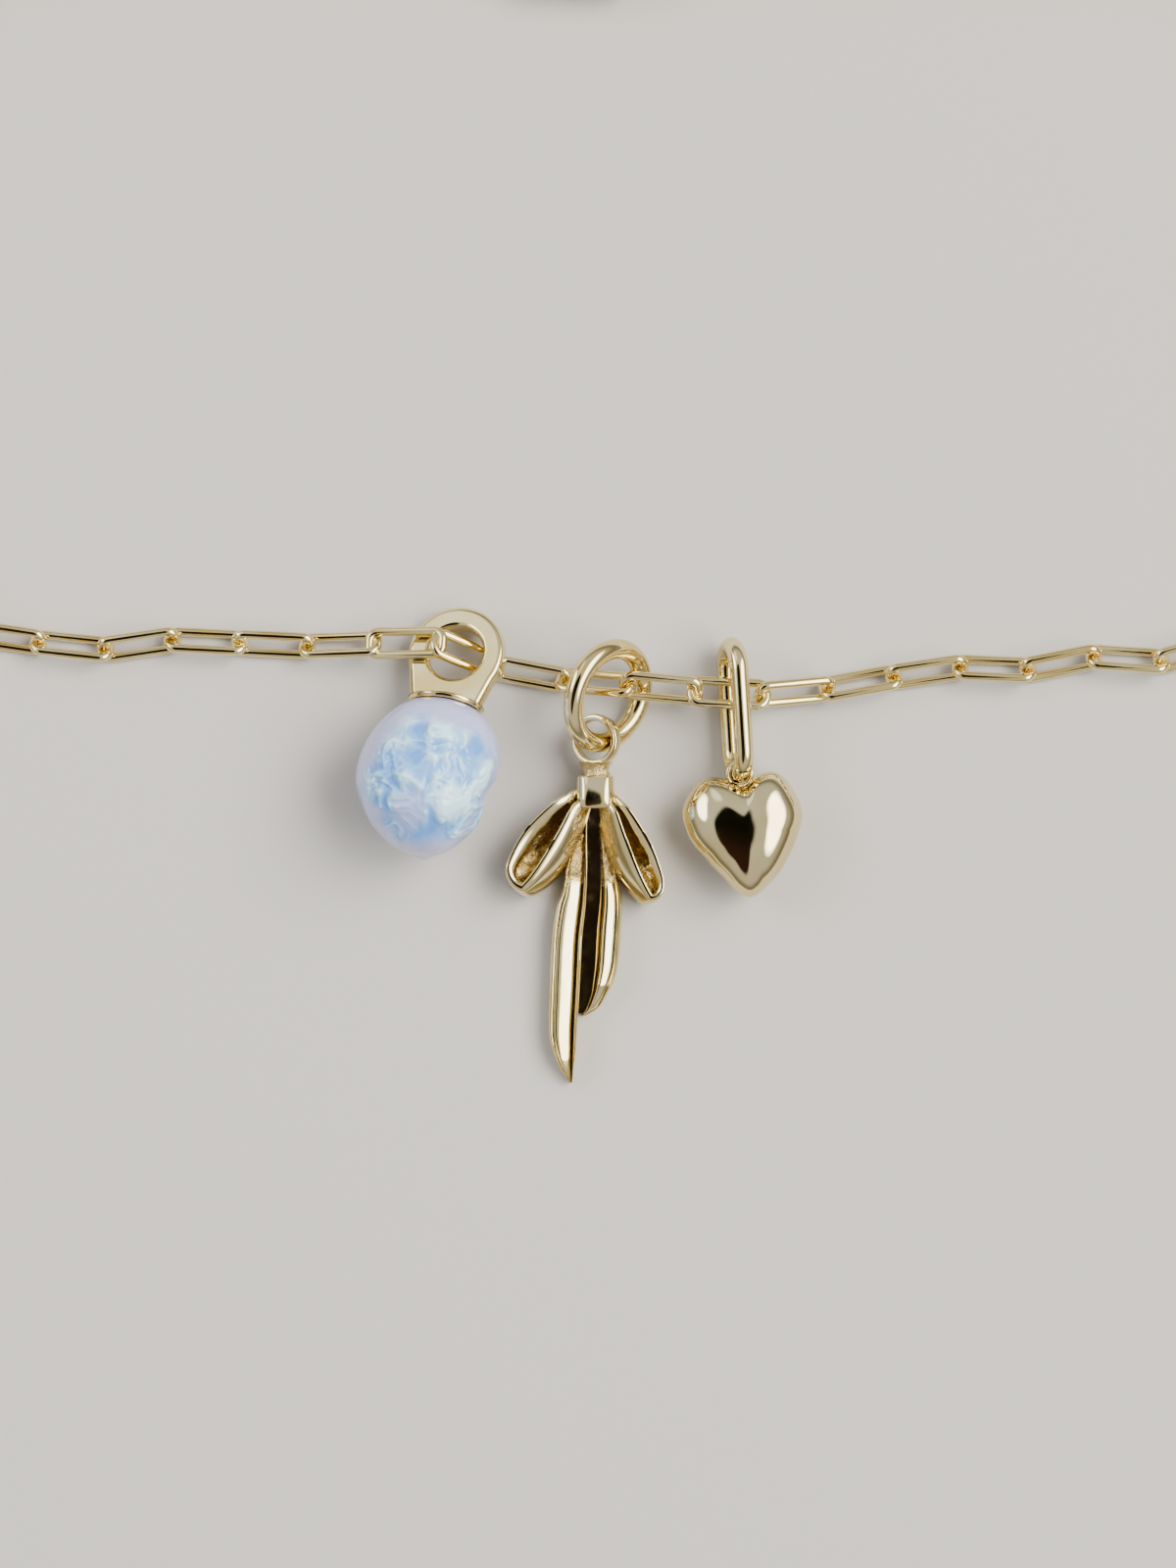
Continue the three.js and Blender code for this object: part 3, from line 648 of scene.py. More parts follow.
def smooth_route(points: list[Vector], steps: int = 60) -> list[Vector]:
    """A smooth line through points, with the pull between them set by the root of their distance.

    Args:
        points: the points in order.
        steps: samples between two points.

    Returns:
        The samples.
    """
    row = [points[0] * 2 - points[1]] + points + [points[-1] * 2 - points[-2]]
    line = []
    for p0, p1, p2, p3 in zip(row, row[1:], row[2:], row[3:]):
        t1 = (p1 - p0).length ** 0.5
        t2 = t1 + (p2 - p1).length ** 0.5
        t3 = t2 + (p3 - p2).length ** 0.5
        for step in range(steps):
            t = t1 + (t2 - t1) * step / steps
            a1 = p0.lerp(p1, t / t1)
            a2 = p1.lerp(p2, (t - t1) / (t2 - t1))
            a3 = p2.lerp(p3, (t - t2) / (t3 - t2))
            b1 = a1.lerp(a2, t / t2)
            b2 = a2.lerp(a3, (t - t1) / (t3 - t1))
            line.append(b1.lerp(b2, (t - t1) / (t2 - t1)))
    return line + [points[-1].copy()]


@dataclass
class Chain:
    """The drawn cable chain: links of round wire with straight sides, each turned against the next."""

    pitch: float = 3.37
    link_width: float = 1.65
    wire: float = 0.45
    corner: float = 0.45
    bite: float = 0.03
    tilt: float = 45.0
    left_links: int = 25
    right_links: int = 30
    front_corner: float = 4.0
    back_corner: float = 5.0
    clasp_span: float = 10.0
    end_tilt: float = 65.0
    first: int = 7
    # The links that the charms hold lie at other tilts, counted from the first one
    special_tilts: dict[int, float] = field(default_factory=lambda: {
        -1: -12.0, 0: -30.0, 1: 45.0, 3: 35.0, 4: -20.0})
    # Points of the stretch in the photograph, from left to right
    front: list[tuple[float, float, float]] = field(default_factory=lambda: [
        (-29.27, -6.05, 0.65), (-27.09, -6.29, 0.65), (-23.8, -6.61, 0.65), (-20.49, -6.1, 0.65),
        (-17.22, -6.29, 0.65), (-13.9, -6.44, 0.7), (-10.85, -6.34, 1.15), (-7.41, -6.3, 2.0),
        (-4.24, -7.61, 0.7), (-1.12, -8.15, 0.75), (2.34, -8.44, 1.95), (5.56, -8.73, 1.65),
        (9.12, -8.88, 1.5), (12.2, -8.54, 0.7), (15.46, -7.95, 0.65), (19.02, -7.46, 0.65),
        (22.34, -7.61, 0.65), (25.61, -6.93, 0.65), (29.27, -7.22, 0.65)])

    def end_height(self) -> float:
        """Height of a link's middle line at the clasp, where it rests on its lower rail."""
        return (self.link_width - self.wire) / 2 * math.sin(math.radians(self.end_tilt)) + self.wire / 2

    def route(self) -> list[Vector]:
        """The whole loop from the middle of the back, round by the left and the front.

        Returns:
            Samples along it.
        """
        front = [Vector(point) for point in self.front]
        left, right, low = front[0], front[-1], front[0].z
        left_x, right_x = left.x - self.front_corner, right.x + self.front_corner
        walked = smooth_route(front)
        front_length = sum((b - a).length for a, b in zip(walked, walked[1:]))
        bends = math.pi * (self.front_corner + self.back_corner)
        back_length = right_x - left_x - 2 * self.back_corner
        total = (self.left_links + self.right_links) * self.pitch + self.clasp_span
        sides = total - front_length - bends - back_length
        back_y = (sides + left.y + right.y) / 2 + self.front_corner + self.back_corner
        high = self.end_height()

        def bend(x: float, y: float, radius: float, start: float, end: float) -> list[Vector]:
            """Five points round a quarter turn."""
            turns = [math.radians(start + (end - start) * step / 4) for step in range(5)]
            return [Vector((x + radius * math.cos(t), y + radius * math.sin(t), low)) for t in turns]

        near, far = self.clasp_span / 2 + self.pitch, self.clasp_span / 2 + 3 * self.pitch
        back, fore = self.back_corner, self.front_corner
        return smooth_route([
            Vector((0, back_y, high)), Vector((-near, back_y, high)), Vector((-far, back_y, low)),
            *bend(left_x + back, back_y - back, back, 90, 180),
            *bend(left_x + fore, left.y + fore, fore, 180, 270)[:-1], *front,
            *bend(right_x - fore, right.y + fore, fore, 270, 360)[1:],
            *bend(right_x - back, back_y - back, back, 0, 90),
            Vector((far, back_y, low)), Vector((near, back_y, high)), Vector((0, back_y, high))])

    def joints(self, route: list[Vector], count: int, step: int) -> list[Vector]:
        """Walks joints a pitch apart along the route.

        Args:
            route: samples of the route.
            count: links to walk.
            step: 1 to walk forwards, -1 back.

        Returns:
            The joints, from the first one.
        """
        start = Vector(self.front[self.first])
        place = min(range(len(route)), key=lambda i: (route[i] - start).length)
        joints = [route[place]]
        while len(joints) <= count:
            here = joints[-1]
            while (route[place] - here).length < self.pitch:
                place += step
            near, far = route[place - step], route[place]
            gap = (near - here).length
            joints.append(near.lerp(far, (self.pitch - gap) / ((far - here).length - gap)))
        return joints

    def ends(self) -> tuple[list[Vector], list[Vector]]:
        """The joints to the left and to the right of the first one."""
        route = self.route()
        return self.joints(route, self.left_links, -1), self.joints(route, self.right_links, 1)

    def mesh(self) -> bpy.types.Mesh:
        """Lays every link.

        Returns:
            The chain as one mesh.
        """
        left, right = self.ends()
        joints = left[:0:-1] + right
        link = wire_loop((self.pitch + self.wire - self.bite) / 2, (self.link_width - self.wire) / 2,
                         self.corner, self.wire, sides=16, steps=7)
        laid = []
        for i, (start, end) in enumerate(zip(joints, joints[1:])):
            number = i - self.left_links
            side = -1 if number % 2 == 0 else 1
            tilt = self.special_tilts.get(number, side * self.tilt)
            if i in (0, len(joints) - 2):
                tilt = side * self.end_tilt
            level = basis(start.lerp(end, 0.5), end - start, UP)
            laid.append((link, level @ Matrix.Rotation(math.radians(tilt), 4, "X")))
        return joined(laid, "chain")


@dataclass
class Clasp:
    """One plain oval block with a flat underside and a wire eye at each end."""

    chain: Chain
    length: float = 6.0
    width: float = 2.8
    height: float = 2.0
    edge: float = 0.4
    wire: float = 0.4
    gap: float = 0.15
    slack: float = 0.07

    def mesh(self) -> bpy.types.Mesh:
        """Builds the block and its eyes between the chain's two ends.

        Returns:
            The fused mesh.
        """
        left, right = self.chain.ends()
        middle = left[-1].lerp(right[-1], 0.5)
        block = bmesh.new()
        half, radius = self.length / 2 - self.width / 2, self.width / 2
        outline = []
        for degrees in range(-90, 270, 10):
            turn = math.radians(degrees)
            end = half if degrees <= 90 else -half
            outline.append(Vector((end + radius * math.cos(turn), radius * math.sin(turn), 0.0)))
        section(block, outline)
        face = bmesh.ops.contextual_create(block, geom=block.edges)["faces"]
        bmesh.ops.solidify(block, geom=face, thickness=self.height)
        bmesh.ops.recalc_face_normals(block, faces=block.faces)
        round_rims(block, rims_of(block), self.edge, 5)
        low = min(vert.co.z for vert in block.verts)
        bmesh.ops.translate(block, verts=block.verts, vec=(middle.x, middle.y, -low))
        reach = (self.wire + self.gap) / 2 + self.slack
        half_span = (right[-1] - left[-1]).length / 2 + reach
        tilt = math.radians(self.chain.end_tilt)
        link_half = (self.chain.link_width - self.chain.wire) / 2 * math.cos(tilt) + self.chain.wire / 2
        eye_half = link_half + self.gap + self.wire / 2
        eye_length = half_span - self.length / 2 + 2 * self.wire
        corner = min(eye_half, eye_length / 2)
        eyes = []
        for side in (-1, 1):
            eye = wire_loop(eye_length / 2, eye_half, corner, self.wire, sides=16, steps=12)
            offset = Vector((side * (half_span - eye_length / 2), 0, 0))
            eye.transform(Matrix.Translation(middle + offset))
            eyes.append(eye)
        return fused([to_mesh(block, "clasp"), *eyes])


@dataclass
class PearlCharm:
    """The baroque pearl, and the flat ring bail whose round cap seats it."""

    at: Vector = field(default_factory=lambda: Vector((-7.9, -12.98, 3.35)))
    skin: Puff = Puff(radius=3.75, half_height=3.35, fullness=0.95, mellow=0.5, level=0.985, outline=(
        (0, 0.91), (14, 0.985), (33, 1.06), (48, 1.09), (67, 1.08), (90, 1.05), (102, 1.04), (124, 0.975),
        (140, 0.945), (162, 0.93), (184, 0.945), (204, 0.945), (228, 0.98), (247, 1.02), (265, 1.035),
        (282, 1.03), (296, 0.965), (315, 0.9), (331, 0.845), (341, 0.8), (350, 0.84)))
    turn: float = 13.0
    pitch: float = 17.0
    roll: float = 16.0
    reach: float = 6.5
    diameter: float = 4.9
    hole: float = 2.8
    hole_rounding: float = 0.19
    thickness: float = 0.95
    rim_rounding: float = 0.26
    shoulder: float = -26.0
    cap: float = 3.5
    cap_wall: float = 0.28
    cap_rounding: float = 0.08
    foot_share: float = 0.98
    seat_gap: float = 0.05
    nipple: float = 0.2
    nipple_turn: float = 267.0
    nipple_spread: float = 0.11
    crown_reach: float = 3.5
    fold_height: float = 0.28
    seed: int = 22

    def frame(self) -> Matrix:
        """The bail's flat: X across it, Y from the pearl out to the ring, Z its face.

        Returns:
            The matrix from the bail to the plan.
        """
        turn, pitch = math.radians(self.turn), math.radians(self.pitch)
        out = Vector((math.sin(turn) * math.cos(pitch), math.cos(turn) * math.cos(pitch), -math.sin(pitch)))
        across = Matrix.Rotation(math.radians(-self.roll), 3, out) @ out.cross(UP).normalized()
        return basis(self.at + out * self.reach, across, across.cross(out))

    def wrinkles(self, point: Vector) -> tuple[float, float]:
        """The nacre's wrinkles: sharp folds that run together over the crown and die out at its rim.

        Args:
            point: on the skin, from the pearl's centre.

        Returns:
            The share of wrinkled skin here, and how near the point is to the crest of a fold, which also sets
            where the nacre's painted highlight and painted shade fall.
        """
        # The folds end along an uneven line round the crown, and above the pearl's waist
        off = Vector((point.x - 0.1, point.y + 0.2)).length
        crown = held(self.crown_reach - off - 0.6 * noise.noise(point * 0.8))
        crown *= held(0.5 + point.z / 1.6)
        # A smooth patch below the middle, to the left
        smooth = Vector(((point.x + 0.75) / 0.95, (point.y + 1.5) / 1.5)).length
        crown *= max(0.35, min(1.0, (smooth - 0.1) / 1.15))
        # Broad swells, thin ridges that branch over them, and short ticks side by side in patches
        bent = point + 0.6 * noise.noise_vector(point * 0.8 + Vector((4.0, 1.0, 2.0)))
        swell = noise.fractal(Vector((bent.x * 0.62, bent.y * 0.5, bent.z * 0.6 + 3.0)), 0.9, 2.1, 4)
        ridge = 1.0 - 2.2 * abs(noise.noise(Vector((bent.x * 0.7 + 2.0, bent.y * 0.6, bent.z * 0.7))))
        ticks = 1.0 - 2.0 * abs(noise.noise(Vector((bent.x * 0.9, bent.y * 2.3, bent.z + 5.0))))
        ticked = held(0.2 + 2.2 * noise.noise(point * 0.5 + Vector((7.3, 2.2, 0.4))))
        near_left = held(1.4 - Vector((point.x + 1.9, (point.y + 0.8) * 0.8)).length)
        crest = 0.22 + 0.85 * swell + 0.45 * max(ridge, 0.0) ** 3 * (1.0 - 0.5 * ticked)
        crest += 0.5 * max(ticks, 0.0) ** 2 * max(ticked, near_left)
        return crown, held(crest)

    def pearl_mesh(self) -> bpy.types.Mesh:
        """Shapes the pearl: its outline, then the wrinkles and dimples of its crown.

        Returns:
            The mesh, in millimetres.
        """
        mesh = bmesh.new()
        bmesh.ops.create_icosphere(mesh, subdivisions=7, radius=1.0)
        crowned = mesh.verts.layers.float.new("crown")
        crested = mesh.verts.layers.float.new("crest")
        turn = math.radians(self.nipple_turn)
        tip = Vector((math.cos(turn), math.sin(turn), -0.05)).normalized()
        # Vector noise shifts with the clock unless it is seeded
        noise.seed_set(self.seed)
        for vert in mesh.verts:
            way = vert.co.normalized()
            point = self.skin.point(way)
            crown, crest = self.wrinkles(point)
            dimple = noise.noise(point * 0.9 + Vector((1.7, 8.8, 2.6)))
            lift = 0.04 * noise.noise(point * 0.42)
            lift += crown * (self.fold_height * crest + 0.1 * dimple - 0.1)
            lift += self.nipple * math.exp(-((way - tip).length / self.nipple_spread) ** 2)
            vert[crowned] = crown
            # The crest share is the mask of the nacre's painted highlight on the crests and painted shade in
            # the valleys
            vert[crested] = crest
            vert.co = self.at + point + way * lift
        return to_mesh(mesh, "pearl")

    def plate_mesh(self) -> bpy.types.Mesh:
        """The ring and its foot as one flat plate with bevelled rims.

        Returns:
            The mesh, in millimetres, in the bail's own frame.
        """
        mesh = bmesh.new()
        curve = self.seat_radius() + self.cap_wall / 2
        foot_half = self.cap / 2 * self.foot_share
        shoulder = math.radians(self.shoulder)
        # Over the ring from shoulder to shoulder, then the foot's arc, which is soldered to the cap
        arc_steps, foot_steps, side_steps, hole_steps = 63, 15, 9, 96
        arc = [on_circle(self.diameter / 2, shoulder + (math.pi - 2 * shoulder) * i / arc_steps)
               for i in range(arc_steps + 1)]
        across = [foot_half * (2 * i / foot_steps - 1) for i in range(foot_steps + 1)]
        foot = [Vector((x, math.sqrt(curve ** 2 - x ** 2) - self.reach, 0.0)) for x in across]
        left = [arc[-1].lerp(foot[0], i / side_steps) for i in range(1, side_steps)]
        right = [foot[-1].lerp(arc[0], i / side_steps) for i in range(1, side_steps)]
        hole = [on_circle(self.hole / 2, math.tau * i / hole_steps) for i in range(hole_steps)]
        edges = section(mesh, arc + left + foot + right) + section(mesh, hole)
        bmesh.ops.bridge_loops(mesh, edges=edges)
        bmesh.ops.solidify(mesh, geom=mesh.faces, thickness=self.thickness)
        bmesh.ops.recalc_face_normals(mesh, faces=mesh.faces)
        middle = sum(vert.co.z for vert in mesh.verts) / len(mesh.verts)
        bmesh.ops.translate(mesh, verts=mesh.verts, vec=(0.0, 0.0, -middle))
        for inside, width in ((True, self.hole_rounding), (False, self.rim_rounding)):
            rims = []
            for edge in rims_of(mesh):
                centre = (edge.verts[0].co + edge.verts[1].co) / 2
                level = abs(edge.verts[0].co.z - edge.verts[1].co.z) < 1e-4
                soldered = Vector((centre.x, centre.y + self.reach)).length < curve + 0.01
                if level and not soldered and (centre.xy.length < self.hole / 2 + 0.1) == inside:
                    rims.append(edge)
            round_rims(mesh, rims, width, 3)
        return to_mesh(mesh, "plate")

    def seat_radius(self) -> float:
        """From the pearl's centre to its skin under the cap."""
        return self.skin.point(self.seat_way()).length

    def seat_way(self) -> Vector:
        """The way from the pearl's centre out to the ring."""
        return (self.frame().to_3x3() @ Vector((0.0, 1.0, 0.0))).normalized()

    def cap_mesh(self) -> bpy.types.Mesh:
        """The round cap, a thin dish drawn over the pearl.

        Returns:
            The mesh, in millimetres of the plan.
        """
        mesh = bmesh.new()
        bmesh.ops.create_uvsphere(mesh, u_segments=64, v_segments=96, radius=1.0)
        spread_angle = math.asin(self.cap / 2 / self.seat_radius())
        bmesh.ops.bisect_plane(mesh, geom=mesh.verts[:] + mesh.edges[:] + mesh.faces[:],
                               plane_co=(0, 0, math.cos(spread_angle)), plane_no=(0, 0, 1), clear_inner=True)
        out = self.seat_way()
        turned = UP.rotation_difference(out)
        for vert in mesh.verts:
            way = (turned @ vert.co).normalized()
            point = self.skin.point(way)
            vert.co = self.at + point + point.normalized() * self.seat_gap
        bmesh.ops.recalc_face_normals(mesh, faces=mesh.faces)
        top = max(mesh.faces, key=lambda face: (face.calc_center_median() - self.at).dot(out))
        if top.normal.dot(out) < 0:
            bmesh.ops.reverse_faces(mesh, faces=mesh.faces)
        bmesh.ops.solidify(mesh, geom=mesh.faces, thickness=-self.cap_wall)
        bmesh.ops.recalc_face_normals(mesh, faces=mesh.faces)
        round_rims(mesh, rims_of(mesh), self.cap_rounding, 3)
        return to_mesh(mesh, "cap")

    def bail_mesh(self) -> bpy.types.Mesh:
        """Solders the plate to its cap.

        Returns:
            The fused mesh, in millimetres of the plan.
        """
        plate = self.plate_mesh()
        plate.transform(self.frame())
        return fused([plate, self.cap_mesh()])


@dataclass(frozen=True)
class RibbonLoop:
    """One loop of the bow: side is -1 for the left one, heading its lean in degrees from straight down."""

    side: int
    heading: float
    width: float
    lean: float
    wall: float


@dataclass
class BowCharm:
    """The cast ribbon bow, and the round jump ring that carries it."""

    ring_at: tuple[float, float] = (0.98, -8.95)
    ring_diameter: float = 5.8
    ring_wire: float = 1.0
    ring_tilt: float = 48.0
    ring_turn: float = 13.0
    ring_dip: float = 10.0
    knot_at: Vector = field(default_factory=lambda: Vector((0.37, -13.7, 1.15)))
    knot_width: float = 1.96
    knot_length: float = 1.5
    knot_depth: float = 2.3
    knot_square: float = 0.58
    neck: float = 0.65
    neck_square: float = 0.85
    neck_grain: float = 0.16
    # Outside, hole and depth
    eyelet: tuple[float, float, float] = (2.62, 1.93, 0.56)
    eyelet_rounding: float = 0.12
    eyelet_reach: float = 2.55
    eyelet_rise: float = 0.35
    eyelet_tilt: float = 28.0
    loop_length: float = 5.9
    ribbon: float = 2.2
    fill_floor: float = 0.32
    fill_bank: float = 0.45
    fill_tip: float = 1.05
    loops: tuple[RibbonLoop, ...] = (
        RibbonLoop(-1, 36.0, 1.96, 0.95, 0.48), RibbonLoop(1, 25.0, 1.42, 0.95, 0.36))
    # Share of the loop's length, and its width and middle there as shares of the loop's full width
    loop_rows: list[tuple[float, float, float]] = field(default_factory=lambda: [
        (0.0, 0.36, 0.126), (0.16, 0.63, 0.193), (0.39, 0.89, 0.224), (0.57, 1.0, 0.227), (0.75, 0.98, 0.18),
        (0.9, 0.84, 0.12), (0.975, 0.55, 0.03)])
    long_tail: float = 14.55
    short_tail: float = 11.2
    tail_width: float = 1.45
    tail_thickness: float = 1.1
    tail_rise: float = 0.5
    rough_length: float = 4.7
    rough_fade: float = 0.5
    # Share of the tail's length, and its shift and width there as shares of the full width
    long_rows: list[tuple[float, float, float]] = field(default_factory=lambda: [
        (0.03, -0.42, 0.26), (0.159, -0.528, 0.46), (0.252, -0.648, 0.717), (0.343, -0.74, 0.84),
        (0.394, -0.845, 1.0), (0.494, -0.979, 1.048), (0.595, -1.034, 1.048), (0.696, -1.079, 1.041),
        (0.797, -1.124, 1.007), (0.847, -1.121, 0.945), (0.897, -1.069, 0.759), (0.948, -0.986, 0.483),
        (1.0, -0.84, 0.08)])
    short_rows: list[tuple[float, float, float]] = field(default_factory=lambda: [
        (0.04, 0.2, 0.25), (0.205, 0.28, 0.32), (0.327, 0.4, 0.47), (0.443, 0.52, 0.7), (0.51, 0.53, 0.79),
        (0.607, 0.48, 0.84), (0.705, 0.43, 0.825), (0.771, 0.39, 0.8), (0.836, 0.3, 0.73),
        (0.901, 0.14, 0.56), (0.966, -0.11, 0.4), (1.0, -0.42, 0.1)])
    # Across each tail: a rim, a shallow groove, a broad band that falls to the right, and a deep groove
    long_section: list[tuple[float, float]] = field(default_factory=lambda: [
        (-0.5, 0.0), (0.0, 0.0), (0.5, 0.0), (0.85, 0.08), (1.0, 0.3), (1.0, 0.8), (0.98, 0.92), (0.93, 0.98),
        (0.86, 0.98), (0.8, 0.92), (0.75, 0.72), (0.69, 0.55), (0.62, 0.55), (0.57, 0.68), (0.5, 0.77),
        (0.4, 0.81), (0.2, 0.845), (0.0, 0.88), (-0.2, 0.915), (-0.4, 0.945), (-0.52, 0.945), (-0.58, 0.9),
        (-0.62, 0.86), (-0.66, 0.87), (-0.71, 0.94), (-0.78, 0.97), (-0.86, 0.95), (-0.95, 0.85),
        (-1.0, 0.66), (-1.0, 0.3), (-0.85, 0.08)])
    short_section: list[tuple[float, float]] = field(default_factory=lambda: [
        (-0.5, 0.0), (0.0, 0.0), (0.5, 0.0), (0.85, 0.08), (1.0, 0.3), (1.0, 0.62), (0.96, 0.76),
        (0.86, 0.87), (0.76, 0.9), (0.68, 0.87), (0.6, 0.79), (0.54, 0.76), (0.48, 0.8), (0.4, 0.85),
        (0.2, 0.895), (0.0, 0.935), (-0.2, 0.97), (-0.38, 0.985), (-0.5, 0.96), (-0.57, 0.86),
        (-0.62, 0.66), (-0.67, 0.6), (-0.73, 0.6), (-0.78, 0.72), (-0.82, 0.9), (-0.87, 0.97),
        (-0.93, 0.97), (-0.98, 0.9), (-1.0, 0.78), (-1.0, 0.3), (-0.85, 0.08)])

    def ring_mesh(self) -> bpy.types.Mesh:
        """Spins the jump ring where it leans over the chain.

        Returns:
            The mesh, in millimetres of the plan.
        """
        turn, dip = math.radians(self.ring_turn), math.radians(self.ring_dip)
        radius = (self.ring_diameter - self.ring_wire) / 2
        long = Vector((math.sin(turn) * math.cos(dip), math.cos(turn) * math.cos(dip), math.sin(dip)))
        across = Matrix.Rotation(math.radians(self.ring_tilt), 3, long) @ long.cross(UP).normalized()
        lowest = radius * math.hypot(long.z, across.z) + self.ring_wire / 2
        place = basis(Vector((*self.ring_at, lowest)), across, across.cross(long))
        mesh = bmesh.new()
        start = Matrix.Translation((radius, 0, 0)) @ Matrix.Rotation(math.pi / 2, 4, "X")
        bmesh.ops.create_circle(mesh, segments=28, radius=self.ring_wire / 2, matrix=start)
        spin_round(mesh, mesh.edges[:], steps=112)
        bmesh.ops.transform(mesh, matrix=place, verts=mesh.verts)
        return to_mesh(mesh, "jump_ring")

    def loop_axes(self, loop: RibbonLoop) -> tuple[Vector, Vector, Vector]:
        """Where a loop starts inside the knot, and the ways that it runs.

        Args:
            loop: the loop.

        Returns:
            Its root, its way out to the tip, and its way sideways from the bow.
        """
        turn = math.radians(loop.heading)
        root = Vector((self.knot_at.x + loop.side * self.knot_width * 0.3, self.knot_at.y, 0.0))
        along = Vector((loop.side * math.sin(turn), -math.cos(turn), 0.0))
        return root, along, Vector((loop.side * math.cos(turn), math.sin(turn), 0.0))

    def lean_at(self, loop: RibbonLoop, stop: float, height: float) -> float:
        """How far a loop's band stands sideways at a share of its length and of its height."""
        return loop.lean * math.sin(math.pi * min(stop * 0.75 + 0.12, 1.0)) * (height ** 3 - 1.0)

    def loop_path(self, loop: RibbonLoop) -> list[Vector]:
        """The outer edge of a loop's upper rim.

        Args:
            loop: the loop.

        Returns:
            Points with X along the loop and Y sideways.
        """
        length, width = self.loop_length, loop.width
        outer, inner = ([Vector((stop * length, (middle + side * room / 2) * width, 0.0))
                         for stop, room, middle in self.loop_rows] for side in (1, -1))
        root = Vector((-0.05 * length, 0.1 * width, 0.0))
        points = [root, *outer, Vector((length, 0.02 * width, 0.0)), *inner[::-1], root]
        return smooth_route(points, steps=9)[:-1]

    def loop_mesh(self, loop: RibbonLoop) -> bpy.types.Mesh:
        """Bends one ribbon loop: a thick band with rolled lips, polished outside and raw inside.

        Args:
            loop: the loop.

        Returns:
            The mesh, in millimetres of the plan.
        """
        root, along, out = self.loop_axes(loop)
        path = self.loop_path(loop)
        lip = [(0.5 - 0.5 * math.cos(t), math.sin(t)) for t in (math.pi * i / 8 for i in range(9))]
        bottom = (self.knot_depth - self.ribbon) / 2 + 0.02
        rings = []
        for i, here in enumerate(path):
            ahead = (path[(i + 1) % len(path)] - path[i - 1]).normalized()
            inward = Vector((ahead.y, -ahead.x, 0.0))
            stop = max(here.x / self.loop_length, 0.0)
            room = between(self.loop_rows, min(stop, 0.9), 1) * loop.width
            wall = min(loop.wall, 0.44 * room)
            # The band is lower where it dives under the knot
            top = self.ribbon * (1.0 - 0.3 * max(0.0, 1.0 - stop / 0.22) ** 2) - wall / 2
            # Up the bulging outside, over the rolled lip and down the raw inside
            skin = [(0.06, 0.0)]
            skin += [(-0.11 * math.sin(math.pi * (0.1 + 0.8 * j / 6)), top * (j + 0.4) / 6.4)
                     for j in range(6)]
            skin += [(x * wall, top + y * wall / 2) for x, y in lip]
            skin += [(wall * 1.02, top * (6 - j) / 7) for j in range(7)]
            ring = []
            for j, (depth, height) in enumerate(skin):
                place = here + inward * depth
                share = height / self.ribbon
                across = place.y + self.lean_at(loop, stop, share)
                point = root + along * place.x + out * across + Vector((0, 0, bottom + height))
                if j >= len(skin) - 7:
                    point += (along * inward.x + out * inward.y) * 0.16 * noise.noise(point * 2.9)
                ring.append(point)
            rings.append(ring)
        mesh = bmesh.new()
        loft(mesh, rings, closed=True)
        return to_mesh(mesh, "loop")

    def fill_mesh(self, loop: RibbonLoop) -> bpy.types.Mesh:
        """The raw casting left between a loop's walls, deepest at the knot and heaped up at the tip.

        Args:
            loop: the loop.

        Returns:
            The mesh, in millimetres of the plan.
        """
        root, along, out = self.loop_axes(loop)
        rings = []
        for i in range(41):
            stop = 0.1 + 0.82 * i / 40
            half = between(self.loop_rows, stop, 1) * loop.width / 2 - loop.wall / 2
            middle = between(self.loop_rows, stop, 2) * loop.width
            # Heaped up over the far half, in an easy curve
            tip = held((stop - 0.48) / 0.28)
            tip *= tip * (3.0 - 2.0 * tip)
            heights = [(-1.0, 0.15), (1.0, 0.15)]
            for j in range(15):
                # Banked against the outer wall, with a dark furrow left along the inner one
                bank = held(1.6 - j / 7)
                height = self.fill_floor + self.fill_bank * bank + self.fill_tip * tip
                heights.append((1.0 - j / 7, height))
            ring = []
            for share, height in heights:
                across = middle + half * share
                point = root + along * stop * self.loop_length + UP * height
                if height > 0.3:
                    ground = (point + out * across) * 2.3
                    rough = 0.3 * noise.noise(ground) + 0.2 * noise.noise(ground * 2.2)
                    point += UP * rough * (1.0 - 0.3 * tip)
                ring.append(point + out * (across + self.lean_at(loop, stop, point.z / self.ribbon)))
            rings.append(ring)
        mesh = bmesh.new()
        loft(mesh, rings, closed=False)
        return to_mesh(mesh, "fill")

    def tail_point(self, down: float, length: float, across: float, height: float) -> Vector:
        """A point of a tail, at a share of its length, with across and height in millimetres."""
        rise = self.tail_rise * (1 - down) ** 2
        return Vector((self.knot_at.x + across, self.knot_at.y - length * down, rise + height))

    def tail_mesh(self, rows: list[tuple[float, float, float]], length: float,
                  shape: list[tuple[float, float]]) -> bpy.types.Mesh:
        """Draws one tail: a ribbon with rims, grooves and a crowned middle, left raw towards the knot.

        Args:
            rows: share of the length, shift and width of each row.
            length: from the knot's middle to the tip.
            shape: the section, from -1 to 1 across and 0 to 1 up.

        Returns:
            The mesh, in millimetres of the plan.
        """
        rings = []
        steps = 150
        for i in range(steps + 1):
            down = rows[0][0] + (rows[-1][0] - rows[0][0]) * i / steps
            across, wide = between(rows, down, 1), max(between(rows, down, 2), 0.05)
